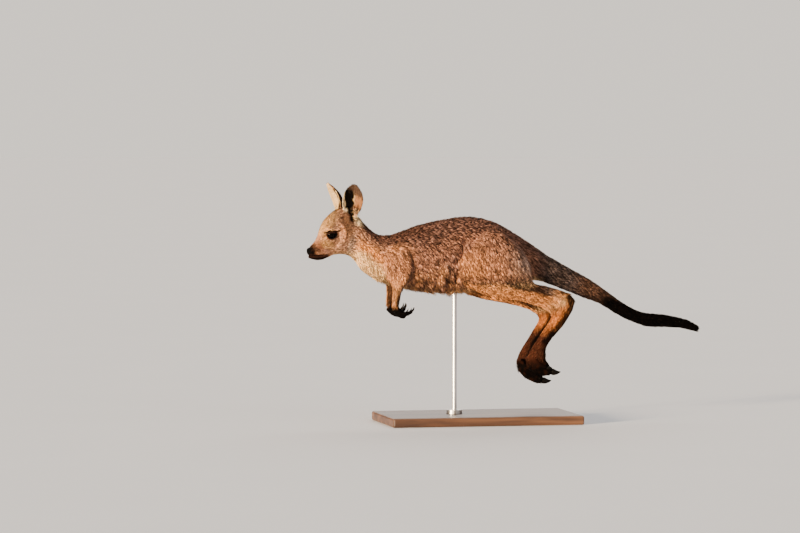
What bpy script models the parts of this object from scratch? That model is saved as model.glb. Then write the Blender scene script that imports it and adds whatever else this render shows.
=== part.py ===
"""Young grey kangaroo in mid leap, a life-size still model held over a flat base by one rod.

Run with: blender --background --python part.py

Frame: metres, +Z up. The animal faces -X and its left side is -Y.
The origin is the middle of the base's underside.
Each body form is a loft: a row of stations that each give the upper and the lower edge of the
profile, a half width, the distance to the side and how far the widest level sits above the middle.
"""

import math

import bmesh
import bpy
from mathutils import Matrix, Vector

MM = 0.001
GAP = 0.3 * MM  # left between solids that meet

LEFT, RIGHT = -1, 1  # the sign of Y on each side

# ---------------------------------------------------------------- sizes, in millimetres

# upper edge x, z, lower edge x, z, half width, side, bulge (above 0 the widest level is high)
HEAD = {
    "nose tip": (-373, 377, -373, 366, 6, 0, 0.0),
    "nostrils": (-370, 383, -372, 360, 11, 0, 0.1),
    "lips": (-365, 388, -367, 356, 14, 0, 0.05),
    "muzzle": (-358, 396, -354, 353, 17, 0, 0.0),
    "bridge": (-353, 406, -341, 354, 20, 0, 0.0),
    "under eyes": (-349, 418, -329, 359, 25, 0, 0.05),
    "brow": (-345, 429, -319, 364, 30, 0, 0.12),
    "forehead": (-339, 440, -308, 366, 33, 0, 0.12),
    "temples": (-330, 450, -297, 366, 34.5, 0, 0.08),
    "crown": (-318, 460, -287, 364, 35, 0, 0.0),
    "poll": (-303, 466, -280, 360, 34.5, 0, -0.04),
}
NECK = {
    "nape": (-283, 465, -275, 354, 34, 0, -0.06),
    "throat": (-265, 452, -269, 346, 34, 0, -0.06),
    "neck": (-247, 431, -258, 333, 36, 0, -0.08),
    "neck root": (-225, 413, -240, 320, 41, 0, -0.08),
}
TRUNK = {
    "withers": (-198, 409, -214, 307, 47, 0, -0.06),
    "shoulders": (-169, 416, -178, 296, 53, 0, -0.04),
    "rib cage": (-128, 430, -130, 287, 58.5, 0, -0.06),
    "waist": (-79, 441, -79, 283, 62, 0, -0.1),
    "loin": (-30, 447, -28, 286, 62, 0, -0.12),
    "pelvis": (20, 441, 31, 291, 57, 0, -0.15),
    "hips": (65, 421, 81, 299, 47, 0, -0.15),
}
TAIL = {
    "tail root": (106, 395, 112, 305, 36, 0, -0.05),
    "tail thick": (150, 365, 138, 303, 28.5, 0, 0.0),
    "tail upper": (193, 340, 176, 290, 24.5, 0, 0.0),
    "tail middle": (240, 314, 225, 271, 20, 0, 0.0),
    "tail slender": (284, 285, 268, 255, 15.5, 0, 0.0),
    "tail bend": (330, 253, 316, 227, 14, 0, 0.0),
    "tail brush": (374, 234, 367, 206, 14, 0, 0.0),
    "tail brush end": (422, 228, 420, 202, 12.5, 0, 0.0),
    "tail thin": (465, 217, 461, 199, 9.5, 0, 0.0),
    "tail tip": (491, 203, 488, 193, 4.5, 0, 0.0),
}
# The left hind leg. The stations fan round the back of the knee and the front of the ankle.
HIND_LEG = {
    "croup": (48, 411, 4, 416, 20, -40, 0.0),
    "haunch": (82, 384, -20, 399, 32, -44, 0.0),
    "buttock": (104, 348, -44, 377, 35, -47, 0.0),
    "thigh": (110, 322, -60, 350, 33, -50, 0.0),
    "above knee": (111, 311, -63, 330, 29, -51, 0.0),
    "knee": (113, 307, -54, 310, 26, -51, 0.0),
    "shin top": (116, 304, -35, 294, 23, -50, 0.0),
    "calf": (123, 301, -8, 282, 21, -49, 0.0),
    "mid shin": (134, 299, 28, 272, 19, -47, 0.0),
    "lower shin": (153, 294, 82, 263, 16.5, -45, 0.0),
    "shin end": (175, 288, 129, 249, 15, -44, 0.0),
    "ankle": (194, 281, 147, 238, 15, -44, 0.0),
    "heel": (208, 265, 152, 230, 14, -44, 0.0),
    "under heel": (202, 243, 150, 223, 13, -43, 0.0),
    "instep": (180, 208, 138, 205, 12.5, -42, 0.0),
    "arch": (158, 184, 123, 182, 12, -41, 0.0),
    "before ball": (143, 160, 107, 158, 13.5, -40, 0.0),
    "ball": (142, 139, 98, 137, 16.5, -40, 0.0),
    "toe root": (149, 128, 102, 120, 15, -40, 0.0),
    "toe joint": (153, 121, 117, 107, 10.5, -40, 0.0),
    "toe end": (155, 122, 138, 101, 9, -40, 0.0),
    "toe tip": (157, 120, 151.5, 102.5, 7.5, -40, 0.0),
}
# The left foreleg, down to the wrist. Its upper edge is the back of the limb.
FORELEG = {
    "shoulder blade": (-158, 388, -204, 386, 9, -41, 0.0),
    "shoulder": (-146, 368, -216, 366, 15, -44, 0.0),
    "upper arm": (-145, 342, -219, 342, 17, -45, 0.0),
    "above elbow": (-152, 316, -213, 318, 15.5, -44, 0.0),
    "elbow": (-167, 301, -200, 302, 12, -42, 0.0),
    "forearm": (-174.5, 286, -196.5, 286, 9.6, -39, 0.0),
    "lower forearm": (-177, 270, -197, 270, 8.4, -35, 0.0),
    "wrist": (-180, 254, -196.5, 254, 7.6, -32, 0.0),
}
# How far the right limbs trail the left ones (x, z). It runs evenly between the named stations.
RIGHT_HIND_DRIFT = {
    "croup": (0, 0),
    "knee": (-4, -6),
    "lower shin": (-6, -10),
    "heel": (-6, -8),
    "ball": (-3, -8),
    "toe tip": (-1, -24),
}
RIGHT_FORE_DRIFT = {"shoulder blade": (0, 0), "elbow": (4, 0), "wrist": (0, -1)}

EYE = {"centre": (-326.3, -23.5, 409.8), "radius": 12}
NOSE = {"centre": (-368.6, 372.8), "radii": (6.2, 10, 8.6), "tilt": -20}
MOUTH = {"front": (-385, 365), "corner": (-329, 365), "depth": 30}

EAR = {"width": 46, "wall": 2.4, "wrap_root": 150, "wrap_tip": 45}
EAR_WIDTHS = (0.38, 0.52, 0.78, 0.95, 1.0, 0.93, 0.7, 0.22)  # shares of the width, root to tip
EARS = {
    "left": {"root": (-287, -21, 439), "length": 78, "axis": (0.13, -0.13, 1.0), "faces": (-0.42, -0.9, 0.05)},
    "right": {"root": (-299, 20, 441), "length": 82, "axis": (-0.33, 0.17, 1.0), "faces": (-0.99, -0.16, -0.2)},
}

# Palms and fingers are laid out from the wrist: forwards, sideways (outer side first), palm side up.
PALM = {"length": 28.5, "half_width": 11, "half_depth": 8, "curl": 48}
FINGERS = {"count": 5, "spread": 4.5, "length": 18, "radii": (3.1, 2.3), "fan": 6, "curl": 56}
FINGER_CLAW = {"length": 11, "radius": 1.8, "curl": 60}
HANDS = {
    "left": {"wrist": (-188, -31.5, 251), "pitch": -60, "extra_curl": 0, "roll": 16},
    "right": {"wrist": (-189, 31.5, 251), "pitch": -58, "extra_curl": 28, "roll": 16},
}
# The smaller toes lie on the main one. Their places are for the left foot.
SIDE_TOE = {"root": (112, -53, 141), "length": 37, "radii": (7.0, 4.6), "pitch": -62, "curl": 52}
INNER_TOE = {"root": (103, -22.5, 142), "length": 29, "radii": (5.0, 4.0), "pitch": -52, "curl": 14}
FOOT_CLAWS = {
    "main": {"length": 22, "radius": 7.2, "pitch": -20, "curl": 50},
    "side": {"length": 13, "radius": 3.2, "curl": 30},
    "inner": {"length": 9, "radius": 1.6, "curl": 30, "apart": 4.2},
}

BASE = {"size": (420, 230, 20), "edge": 4}
ROD = {"x": -51, "radius": 5, "socket": 24, "collar_radius": 17, "collar_height": 8}

AROUND = {"body": 20, "leg": 14, "arm": 12, "digit": 6, "claw": 5}
ROW_STEP = 22  # the length a row of faces covers at most

# ---------------------------------------------------------------- materials

COLOURS = {  # base colour, roughness, metallic
    "fur_back": ((0.22, 0.15, 0.11), 0.9, 0.0),
    "fur_flank": ((0.36, 0.22, 0.15), 0.9, 0.0),
    "fur_face": ((0.40, 0.25, 0.16), 0.9, 0.0),
    "fur_pale": ((0.62, 0.48, 0.33), 0.9, 0.0),
    "fur_grey": ((0.16, 0.13, 0.12), 0.9, 0.0),
    "fur_black": ((0.03, 0.025, 0.022), 0.85, 0.0),
    "ear_skin": ((0.45, 0.30, 0.24), 0.8, 0.0),
    "nose_leather": ((0.02, 0.017, 0.016), 0.45, 0.0),
    "claw_horn": ((0.03, 0.026, 0.024), 0.35, 0.0),
    "eye_gloss": ((0.012, 0.008, 0.006), 0.08, 0.0),
    "stand_wood": ((0.55, 0.40, 0.26), 0.5, 0.0),
    "stand_steel": ((0.55, 0.55, 0.56), 0.3, 1.0),
}


def material(name):
    """The Principled material of that name, made once."""
    found = bpy.data.materials.get(name)
    if found:
        return found
    colour, roughness, metallic = COLOURS[name]
    made = bpy.data.materials.new(name)
    made.use_nodes = True
    shader = made.node_tree.nodes["Principled BSDF"]
    shader.inputs["Base Color"].default_value = (*colour, 1.0)
    shader.inputs["Roughness"].default_value = roughness
    shader.inputs["Metallic"].default_value = metallic
    return made


# ---------------------------------------------------------------- scene helpers


def clear_scene():
    for obj in list(bpy.data.objects):
        bpy.data.objects.remove(obj)


def collection(name):
    made = bpy.data.collections.new(name)
    bpy.context.scene.collection.children.link(made)
    return made


def add_object(name, mesh, group, finish=None):
    obj = bpy.data.objects.new(name, mesh)
    group.objects.link(obj)
    if finish:
        mesh.materials.append(material(finish))
        mesh.shade_smooth()
    return obj


def mesh_from(bm, name):
    bmesh.ops.recalc_face_normals(bm, faces=bm.faces)
    mesh = bpy.data.meshes.new(name)
    bm.to_mesh(mesh)
    bm.free()
    return mesh


def hidden_cutter(obj):
    obj.hide_render = True
    obj.display_type = "WIRE"
    return obj


def combine(obj, other, operation):
    """Adds an exact Boolean of obj with other."""
    step = obj.modifiers.new(f"{operation.lower()} {other.name}", "BOOLEAN")
    step.operation = operation
    step.solver = "EXACT"
    step.object = other


def swollen(obj, name, amount):
    """A cutter: a copy of obj with its surface moved outwards by amount."""
    bm = bmesh.new()
    bm.from_mesh(obj.data)
    bm.normal_update()
    moved = [(v, v.co + v.normal * amount) for v in bm.verts]
    for vertex, place in moved:
        vertex.co = place
    return hidden_cutter(add_object(name, mesh_from(bm, name), cutters))


# ---------------------------------------------------------------- lofts


def mirrored(stations, drift):
    """The other side's stations, moved by the drift of the named stations around each."""
    order = list(stations)
    knots = [(order.index(name), move) for name, move in drift.items()]
    made = {}
    for place, (name, s) in enumerate(stations.items()):
        before = max(k for k in knots if k[0] <= place)
        after = min((k for k in knots if k[0] >= place), default=before)
        share = (place - before[0]) / max(after[0] - before[0], 1)
        dx, dz = (p + (q - p) * share for p, q in zip(before[1], after[1]))
        made[name] = (s[0] + dx, s[1] + dz, s[2] + dx, s[3] + dz, s[4], -s[5], s[6])
    return made


def spacing(a, b):
    """How far apart two stations are: the mean of their upper and lower steps."""
    return 0.5 * (math.dist(a[0:2], b[0:2]) + math.dist(a[2:4], b[2:4]))


def smooth_rows(stations):
    """Rows through the stations by a cubic, and the row number of each station."""
    fixed = list(stations.values())
    knots = [0.0]
    for a, b in zip(fixed, fixed[1:]):
        knots.append(knots[-1] + spacing(a, b))
    slopes = []
    for i in range(len(fixed)):
        before, after = max(i - 1, 0), min(i + 1, len(fixed) - 1)
        span = knots[after] - knots[before]
        slopes.append([(q - p) / span for p, q in zip(fixed[before], fixed[after])])
    rows, places = [], {}
    for i, name in enumerate(stations):
        places[name] = len(rows)
        rows.append(list(fixed[i]))
        if i + 1 == len(fixed):
            break
        span = knots[i + 1] - knots[i]
        steps = math.ceil(span / ROW_STEP)
        for step in range(1, steps):
            t = step / steps
            h00, h10 = 2 * t**3 - 3 * t**2 + 1, t**3 - 2 * t**2 + t
            h01, h11 = -2 * t**3 + 3 * t**2, t**3 - t**2
            around = zip(fixed[i], fixed[i + 1], slopes[i], slopes[i + 1])
            rows.append([h00 * p + h10 * span * m + h01 * q + h11 * span * n for p, q, m, n in around])
    return rows, places


def section(row, around):
    """The points of one egg-shaped section."""
    upper = Vector((row[0], 0, row[1]))
    lower = Vector((row[2], 0, row[3]))
    half_width, side, bulge = row[4:7]
    points = []
    for i in range(around):
        turn = 2 * math.pi * i / around
        level = (upper + lower) / 2 + (upper - lower) / 2 * math.cos(turn)
        level.y = side + half_width * math.sin(turn) * (1 + bulge * math.cos(turn))
        points.append(level * MM)
    return points


def bridge_sections(sections):
    """A closed mesh through the sections, with flat ends."""
    bm = bmesh.new()
    rings = [[bm.verts.new(point) for point in points] for points in sections]
    around = len(rings[0])
    for first, second in zip(rings, rings[1:]):
        for i in range(around):
            j = (i + 1) % around
            bm.faces.new((first[i], first[j], second[j], second[i]))
    bm.faces.new(rings[0][::-1])
    bm.faces.new(rings[-1])
    bmesh.ops.recalc_face_normals(bm, faces=bm.faces)
    return bm


def cut_at(bm, row, keep_after):
    """Cuts the mesh at a row's plane, half a gap inside what is kept, and closes it."""
    upper = Vector((row[0], 0, row[1])) * MM
    lower = Vector((row[2], 0, row[3])) * MM
    along = (upper - lower).cross(Vector((0, 1, 0))).normalized()
    outward = along if keep_after else -along
    parts = bm.verts[:] + bm.edges[:] + bm.faces[:]
    found = bmesh.ops.bisect_plane(
        bm,
        geom=parts,
        dist=1e-7,
        plane_co=lower - outward * GAP / 2,
        plane_no=outward,
        clear_outer=True,
    )
    rim = [e for e in found["geom_cut"] if isinstance(e, bmesh.types.BMEdge)]
    bmesh.ops.contextual_create(bm, geom=rim)


class Form:
    """A row of stations, which makes the pieces that lie between any two of them."""

    def __init__(self, stations, around):
        self.rows, self.place = smooth_rows(stations)
        self.around = around

    def mesh(self, name, start=None, end=None):
        """The length between the stations start and end, cut flat where it meets the next."""
        low = self.place[start] if start else 0
        high = self.place[end] if end else len(self.rows) - 1
        first = max(low - 1, 0)
        last = min(high + 1, len(self.rows) - 1)
        sections = [section(row, self.around) for row in self.rows[first : last + 1]]
        bm = bridge_sections(sections)
        if first < low:
            cut_at(bm, self.rows[low], keep_after=True)
        if last > high:
            cut_at(bm, self.rows[high], keep_after=False)
        return mesh_from(bm, name)

    def piece(self, name, finish, start=None, end=None):
        return add_object(name, self.mesh(name, start, end), kangaroo, finish)


# ---------------------------------------------------------------- digits and claws


def heading(pitch):
    return Vector((math.cos(math.radians(pitch)), 0, math.sin(math.radians(pitch))))


def bent_path(root, pitch, curl, length, steps):
    """Points of an arc that starts at root, heads at pitch in the XZ plane and turns up by curl."""
    points = [Vector(root)]
    for step in range(steps):
        ahead = heading(pitch + curl * (step + 0.5) / steps)
        points.append(points[-1] + ahead * length / steps)
    return points


def tube(points, radii, around, wide=1.0, placed=None):
    """A closed tube along points that lie in one XZ plane. wide stretches it sideways."""
    placed = placed or Matrix.Identity(4)
    sections = []
    for i, point in enumerate(points):
        ahead = points[min(i + 1, len(points) - 1)]
        behind = points[max(i - 1, 0)]
        along = (ahead - behind).normalized()
        up = along.cross(Vector((0, 1, 0)))
        ring = []
        for j in range(around):
            turn = 2 * math.pi * j / around
            across = Vector((0, math.sin(turn) * wide, 0)) + up * math.cos(turn)
            ring.append(placed @ (point + across * radii[i]) * MM)
        sections.append(ring)
    return bridge_sections(sections)


def end_pitch(path):
    """The pitch of a path's last step."""
    step = path[-1] - path[-2]
    return math.degrees(math.atan2(step.z, step.x))


def tapered(first, last, count):
    return [first + (last - first) * i / (count - 1) for i in range(count)]


def claw(name, root, pitch, sizes, placed=None):
    """A curved claw that starts just beyond the flat end of a digit."""
    start = Vector(root) + heading(pitch) * GAP / MM
    steps = 3
    first = pitch - sizes["curl"] / steps / 2  # so that the first step runs straight on
    points = bent_path(start, first, sizes["curl"], sizes["length"], steps)
    radii = [sizes["radius"] * share for share in (1.0, 0.85, 0.52, 0.08)]
    bm = tube(points, radii, AROUND["claw"], 0.8, placed)
    return add_object(name, mesh_from(bm, name), kangaroo, "claw_horn")


# ---------------------------------------------------------------- the head's details


def build_eye(name, side):
    x, y, z = EYE["centre"]
    place = Vector((x, -y * side, z)) * MM
    bpy.ops.mesh.primitive_uv_sphere_add(
        segments=12, ring_count=8, radius=EYE["radius"] * MM, location=place, rotation=(math.pi / 2, 0, 0)
    )
    eye = bpy.context.object
    eye.name = name
    eye.data.materials.append(material("eye_gloss"))
    eye.data.shade_smooth()
    move_to(eye, kangaroo)
    return eye


def move_to(obj, group):
    """Takes obj out of its collections and puts it in group, with its place applied to its mesh."""
    for old in list(obj.users_collection):
        old.objects.unlink(obj)
    group.objects.link(obj)
    bpy.context.view_layer.update()
    obj.data.transform(obj.matrix_world)
    obj.matrix_world = Matrix.Identity(4)


def build_nose():
    x, z = NOSE["centre"]
    bpy.ops.mesh.primitive_uv_sphere_add(segments=12, ring_count=8, radius=1.0)
    nose = bpy.context.object
    nose.name = "nose"
    nose.scale = Vector(NOSE["radii"]) * MM
    nose.rotation_euler = (0, math.radians(NOSE["tilt"]), 0)
    nose.location = Vector((x, 0, z)) * MM
    nose.data.materials.append(material("nose_leather"))
    nose.data.shade_smooth()
    move_to(nose, kangaroo)
    return nose


def box_between(name, low, high):
    """A cutter box between two corners, in millimetres."""
    low, high = Vector(low) * MM, Vector(high) * MM
    bpy.ops.mesh.primitive_cube_add(size=1.0, location=(low + high) / 2)
    box = bpy.context.object
    box.name = name
    box.scale = high - low
    move_to(box, cutters)
    return hidden_cutter(box)


def build_ear(name, root, length, axis, faces):
    """A scoop: nearly a tube at the root, and more and more open towards the tip."""
    axis = Vector(axis).normalized()
    faces = Vector(faces)
    faces = (faces - axis * faces.dot(axis)).normalized()
    across = axis.cross(faces)
    rows, columns = len(EAR_WIDTHS) - 1, 7
    bm = bmesh.new()
    grid = []
    for i in range(rows + 1):
        share = i / rows
        half = EAR["width"] / 2 * EAR_WIDTHS[i]
        wrap = math.radians(EAR["wrap_root"] + (EAR["wrap_tip"] - EAR["wrap_root"]) * share**0.45)
        radius = half / math.sin(min(wrap, math.pi / 2))
        centre = Vector(root) + axis * length * share
        line = []
        for j in range(columns + 1):
            turn = wrap * (2 * j / columns - 1)
            back = radius * (math.cos(turn) - math.cos(wrap) * share)
            line.append(bm.verts.new((centre + across * radius * math.sin(turn) - faces * back) * MM))
        grid.append(line)
    for low, high in zip(grid, grid[1:]):
        for j in range(columns):
            bm.faces.new((low[j], low[j + 1], high[j + 1], high[j]))
    ear = add_object(name, mesh_from(bm, name), kangaroo, "ear_skin")
    wall = ear.modifiers.new("wall", "SOLIDIFY")
    wall.thickness = EAR["wall"] * MM
    wall.offset = 0.0
    wall.use_even_offset = True
    return ear


def build_head(spine):
    """The head with its eyes, nose, ears and lower jaw."""
    head = spine.piece("head", "fur_face", end="nape")
    whole = spine.mesh("head whole", end="nape")
    for name, side in (("eye_left", LEFT), ("eye_right", RIGHT)):
        eye = build_eye(name, side)
        combine(head, swollen(eye, f"{name} socket", GAP), "DIFFERENCE")
    nose = build_nose()
    combine(head, swollen(nose, "nose seat", GAP), "DIFFERENCE")

    front, corner = MOUTH["front"], MOUTH["corner"]
    jaw = add_object("lower_jaw", whole, kangaroo, "fur_face")
    combine(jaw, swollen(nose, "nose clearance", GAP), "DIFFERENCE")
    reach = MOUTH["depth"]
    above = box_between(
        "mouth above jaw", (front[0], -reach, front[1] - reach), (corner[0] + GAP / MM, reach, front[1] + GAP / MM)
    )
    inside = box_between("mouth jaw", (front[0], -reach, front[1] - reach), (corner[0], reach, front[1]))
    combine(head, above, "DIFFERENCE")
    combine(jaw, inside, "INTERSECT")

    head_cutter = swollen(add_cutter(spine.mesh("head form", end="neck")), "head clearance", GAP)
    for side in ("left", "right"):
        ear = build_ear(f"ear_{side}", **EARS[side])
        combine(ear, head_cutter, "DIFFERENCE")


def add_cutter(mesh):
    return hidden_cutter(add_object(mesh.name, mesh, cutters))


# ---------------------------------------------------------------- limbs


def build_hand(side_name, side):
    """The palm with its fingers as one piece, and a claw for each finger."""
    sizes = HANDS[side_name]
    turn = Matrix.Rotation(math.radians(-sizes["pitch"]), 4, "Y")
    roll = Matrix.Rotation(math.radians(side * sizes["roll"]), 4, "X")
    placed = Matrix.Translation(Vector(sizes["wrist"])) @ turn @ roll
    steps = 4
    points = bent_path((0, 0, 0), 0, PALM["curl"], PALM["length"], steps)
    radii = [PALM["half_depth"] * share for share in (0.95, 1.0, 1.05, 1.0, 0.8)]
    wide = PALM["half_width"] / PALM["half_depth"]
    palm = tube(points, radii, AROUND["arm"], wide, placed)
    hand = add_object(f"hand_{side_name}", mesh_from(palm, "palm"), kangaroo, "fur_black")

    middle = (FINGERS["count"] - 1) / 2
    curl = FINGERS["curl"] + sizes["extra_curl"]
    for number in range(FINGERS["count"]):
        offset = number - middle
        label = f"{side_name}_{number + 1}"
        knuckle = points[-2] - heading(PALM["curl"]) * abs(offset) * 1.2
        fan = Matrix.Rotation(math.radians(side * -offset * FINGERS["fan"]), 4, "Z")
        fanned = placed @ Matrix.Translation(Vector((0, side * -offset * FINGERS["spread"], 0))) @ fan
        length = (FINGERS["length"] + PALM["length"] / steps) * (1 - 0.05 * offset**2)
        path = bent_path(knuckle, PALM["curl"], curl, length, 4)
        bm = tube(path, tapered(*FINGERS["radii"], 5), AROUND["digit"], 1.0, fanned)
        finger = hidden_cutter(add_object(f"finger {label}", mesh_from(bm, "finger"), cutters))
        combine(hand, finger, "UNION")
        claw(f"claw_hand_{label}", path[-1], end_pitch(path), FINGER_CLAW, fanned)
    return hand


def build_foreleg(side_name, side, stations, body_cutter):
    form = Form(stations, AROUND["arm"])
    upper = form.piece(f"upper_arm_{side_name}", "fur_flank", end="elbow")
    forearm = form.piece(f"forearm_{side_name}", "fur_flank", start="elbow")
    for obj in (upper, forearm):
        combine(obj, body_cutter, "DIFFERENCE")
    hand = build_hand(side_name, side)
    combine(hand, swollen(forearm, f"wrist clearance {side_name}", GAP), "DIFFERENCE")


def foot_place(place, side, drift):
    """A place on the left foot, taken to the foot of that side."""
    if side == LEFT:
        return Vector(place)
    return Vector((place[0] + drift[0], -place[1], place[2] + drift[1]))


def build_toe(name, sizes, side, drift, foot_cutter):
    """One of the smaller toes. Returns the place and the pitch of its end."""
    path = bent_path(foot_place(sizes["root"], side, drift), sizes["pitch"], sizes["curl"], sizes["length"], 4)
    bm = tube(path, tapered(*sizes["radii"], 5), AROUND["digit"] + 2)
    toe = add_object(name, mesh_from(bm, name), kangaroo, "fur_black")
    combine(toe, foot_cutter, "DIFFERENCE")
    return path[-1], end_pitch(path)


def build_hind_leg(side_name, side, stations, drift, body_cutter):
    form = Form(stations, AROUND["leg"])
    thigh = form.piece(f"thigh_{side_name}", "fur_flank", end="knee")
    shank = form.piece(f"shank_{side_name}", "fur_flank", start="knee", end="ankle")
    for obj in (thigh, shank):
        combine(obj, body_cutter, "DIFFERENCE")
    form.piece(f"foot_{side_name}", "fur_black", start="ankle", end="toe root")
    form.piece(f"toe_main_{side_name}", "fur_black", start="toe root")

    tip = stations["toe tip"]
    place = ((tip[0] + tip[2]) / 2, tip[5], (tip[1] + tip[3]) / 2)
    main = FOOT_CLAWS["main"]
    claw(f"claw_main_{side_name}", place, main["pitch"], main)

    form_cutter = add_cutter(form.mesh(f"foot form {side_name}", start="arch"))
    foot_cutter = swollen(form_cutter, f"foot clearance {side_name}", GAP)
    end, pitch = build_toe(f"toe_side_{side_name}", SIDE_TOE, side, drift, foot_cutter)
    small_claws = [claw(f"claw_side_{side_name}", end, pitch, FOOT_CLAWS["side"])]
    end, pitch = build_toe(f"toe_inner_{side_name}", INNER_TOE, side, drift, foot_cutter)
    inner = FOOT_CLAWS["inner"]
    for number, offset in enumerate((-inner["apart"] / 2, inner["apart"] / 2), start=1):
        small_claws.append(claw(f"claw_inner_{side_name}_{number}", end + Vector((0, offset, 0)), pitch, inner))
    for small_claw in small_claws:
        combine(small_claw, foot_cutter, "DIFFERENCE")


# ---------------------------------------------------------------- stand


def build_stand(abdomen):
    width, depth, height = BASE["size"]
    base = box_between("stand_base", (-width / 2, -depth / 2, 0), (width / 2, depth / 2, height))
    base.hide_render = False
    base.display_type = "SOLID"
    move_to(base, kangaroo)
    base.data.materials.append(material("stand_wood"))
    edge = base.modifiers.new("edge", "BEVEL")
    edge.width = BASE["edge"] * MM
    edge.segments = 2

    skin = belly_height(ROD["x"])
    top = skin + ROD["socket"]
    low = height + GAP / MM
    rod = cylinder("stand_rod", ROD["radius"], low, top - GAP / MM, kangaroo, 16)
    rod.data.materials.append(material("stand_steel"))
    hole = hidden_cutter(cylinder("rod socket", ROD["radius"] + GAP / MM, low, top, cutters, 16))
    combine(abdomen, hole, "DIFFERENCE")
    collar = cylinder("stand_collar", ROD["collar_radius"], low, low + ROD["collar_height"], kangaroo, 24)
    collar.data.materials.append(material("stand_steel"))
    combine(collar, hole, "DIFFERENCE")


def belly_height(x):
    """The height of the trunk's underside at x, in millimetres."""
    rows = list(TRUNK.values())
    for a, b in zip(rows, rows[1:]):
        if a[2] <= x <= b[2]:
            return a[3] + (b[3] - a[3]) * (x - a[2]) / (b[2] - a[2])
    raise ValueError(f"there is no belly at {x}")


def cylinder(name, radius, low, high, group, sides):
    bpy.ops.mesh.primitive_cylinder_add(
        vertices=sides,
        radius=radius * MM,
        depth=(high - low) * MM,
        location=(ROD["x"] * MM, 0, (low + high) / 2 * MM),
    )
    made = bpy.context.object
    made.name = name
    move_to(made, group)
    return made


# ---------------------------------------------------------------- build

clear_scene()
kangaroo = collection("kangaroo")
cutters = collection("cutters")

spine = Form({**HEAD, **NECK, **TRUNK, **TAIL}, AROUND["body"])
build_head(spine)
spine.piece("neck", "fur_flank", "nape", "neck root")
spine.piece("chest", "fur_pale", "neck root", "rib cage")
abdomen = spine.piece("abdomen", "fur_back", "rib cage", "loin")
spine.piece("rump", "fur_back", "loin", "tail root")
spine.piece("tail_base", "fur_grey", "tail root", "tail middle")
spine.piece("tail_middle", "fur_grey", "tail middle", "tail brush")
spine.piece("tail_end", "fur_black", "tail brush")

trunk_form = add_cutter(spine.mesh("trunk form", "throat", "tail middle"))
trunk_cutter = swollen(trunk_form, "trunk clearance", GAP)
build_foreleg("left", LEFT, FORELEG, trunk_cutter)
build_foreleg("right", RIGHT, mirrored(FORELEG, RIGHT_FORE_DRIFT), trunk_cutter)
build_hind_leg("left", LEFT, HIND_LEG, (0, 0), trunk_cutter)
build_hind_leg("right", RIGHT, mirrored(HIND_LEG, RIGHT_HIND_DRIFT), RIGHT_HIND_DRIFT["ball"], trunk_cutter)
build_stand(abdomen)
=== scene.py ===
import math
import bpy
import numpy as np
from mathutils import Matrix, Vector
from mathutils.kdtree import KDTree


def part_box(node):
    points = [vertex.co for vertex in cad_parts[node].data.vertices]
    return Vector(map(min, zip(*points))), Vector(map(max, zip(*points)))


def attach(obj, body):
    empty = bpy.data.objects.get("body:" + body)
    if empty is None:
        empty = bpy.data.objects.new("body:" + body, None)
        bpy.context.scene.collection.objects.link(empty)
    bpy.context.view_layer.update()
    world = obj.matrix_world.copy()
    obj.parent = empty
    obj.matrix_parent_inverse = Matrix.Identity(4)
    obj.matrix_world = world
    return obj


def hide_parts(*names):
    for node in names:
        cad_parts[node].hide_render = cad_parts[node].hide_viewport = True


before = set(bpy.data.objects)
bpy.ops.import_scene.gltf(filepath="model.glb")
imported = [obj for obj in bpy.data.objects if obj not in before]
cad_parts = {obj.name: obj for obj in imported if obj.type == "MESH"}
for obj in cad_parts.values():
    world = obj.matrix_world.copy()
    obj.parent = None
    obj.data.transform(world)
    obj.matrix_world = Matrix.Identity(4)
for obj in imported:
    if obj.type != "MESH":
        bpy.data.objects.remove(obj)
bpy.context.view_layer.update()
bpy.ops.object.select_all(action="DESELECT")
mm = 0.001
sideView = np.array((1, 0, 1))  # a place times this is the place as seen from the side


# small helpers for numbers and places

def ramp(low, high, value):  # a soft step from 0 to 1
    t = np.clip((value - low) / (high - low), 0.0, 1.0)
    return t * t * (3 - 2 * t)


def blendTo(base, other, share):
    return base + (np.asarray(other) - base) * np.asarray(share)[:, None]


def unit(vectors):
    return vectors / np.maximum(np.linalg.norm(vectors, axis=1), 1e-12)[:, None]


def unitOf(vector):
    vector = np.array(vector, float)
    return vector / np.linalg.norm(vector)


def bump(points, centre, size):  # a soft round hill around a place, from 0 to 1
    return np.exp(-((points - np.array(centre)) ** 2).sum(1) / (size * size))


def lineBump(points, start, end, size):  # the same along a line
    start, end = np.array(start, float), np.array(end, float)
    t = np.clip((points - start) @ (end - start) / ((end - start) ** 2).sum(), 0, 1)
    near = start + t[:, None] * (end - start)
    return np.exp(-((points - near) ** 2).sum(1) / (size * size))


def spot(points, centre, size):  # a round hill in the side view
    return bump(points * sideView, (centre[0], 0, centre[1]), size)


def stroke(points, start, end, size):  # a line in the side view
    return lineBump(points * sideView, (start[0], 0, start[1]), (end[0], 0, end[1]), size)


def pointsBetween(rng, count):  # two random shares for a place in a triangle
    a, b = rng.random(count), rng.random(count)
    flip = a + b > 1
    a[flip], b[flip] = 1 - a[flip], 1 - b[flip]
    return a, b


def makeTree(points):
    tree = KDTree(len(points))
    for i, point in enumerate(points):
        tree.insert(point, i)
    tree.balance()
    return tree


def nearestOf(tree, points):
    return np.fromiter((tree.find(p)[1] for p in points), int, len(points))


# small helpers for meshes

def readField(items, field, width, kind=np.float32):
    flat = np.empty(len(items) * width, kind)
    items.foreach_get(field, flat)
    return flat.reshape(-1, width)


def readPoints(mesh):
    return readField(mesh.vertices, "co", 3).astype(float)


def readNormals(mesh):
    return readField(mesh.vertices, "normal", 3).astype(float)


def readEdges(mesh):
    return readField(mesh.edges, "vertices", 2, np.int32)


def readTriangles(mesh):
    mesh.calc_loop_triangles()
    return readField(mesh.loop_triangles, "vertices", 3, np.int32)


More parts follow.
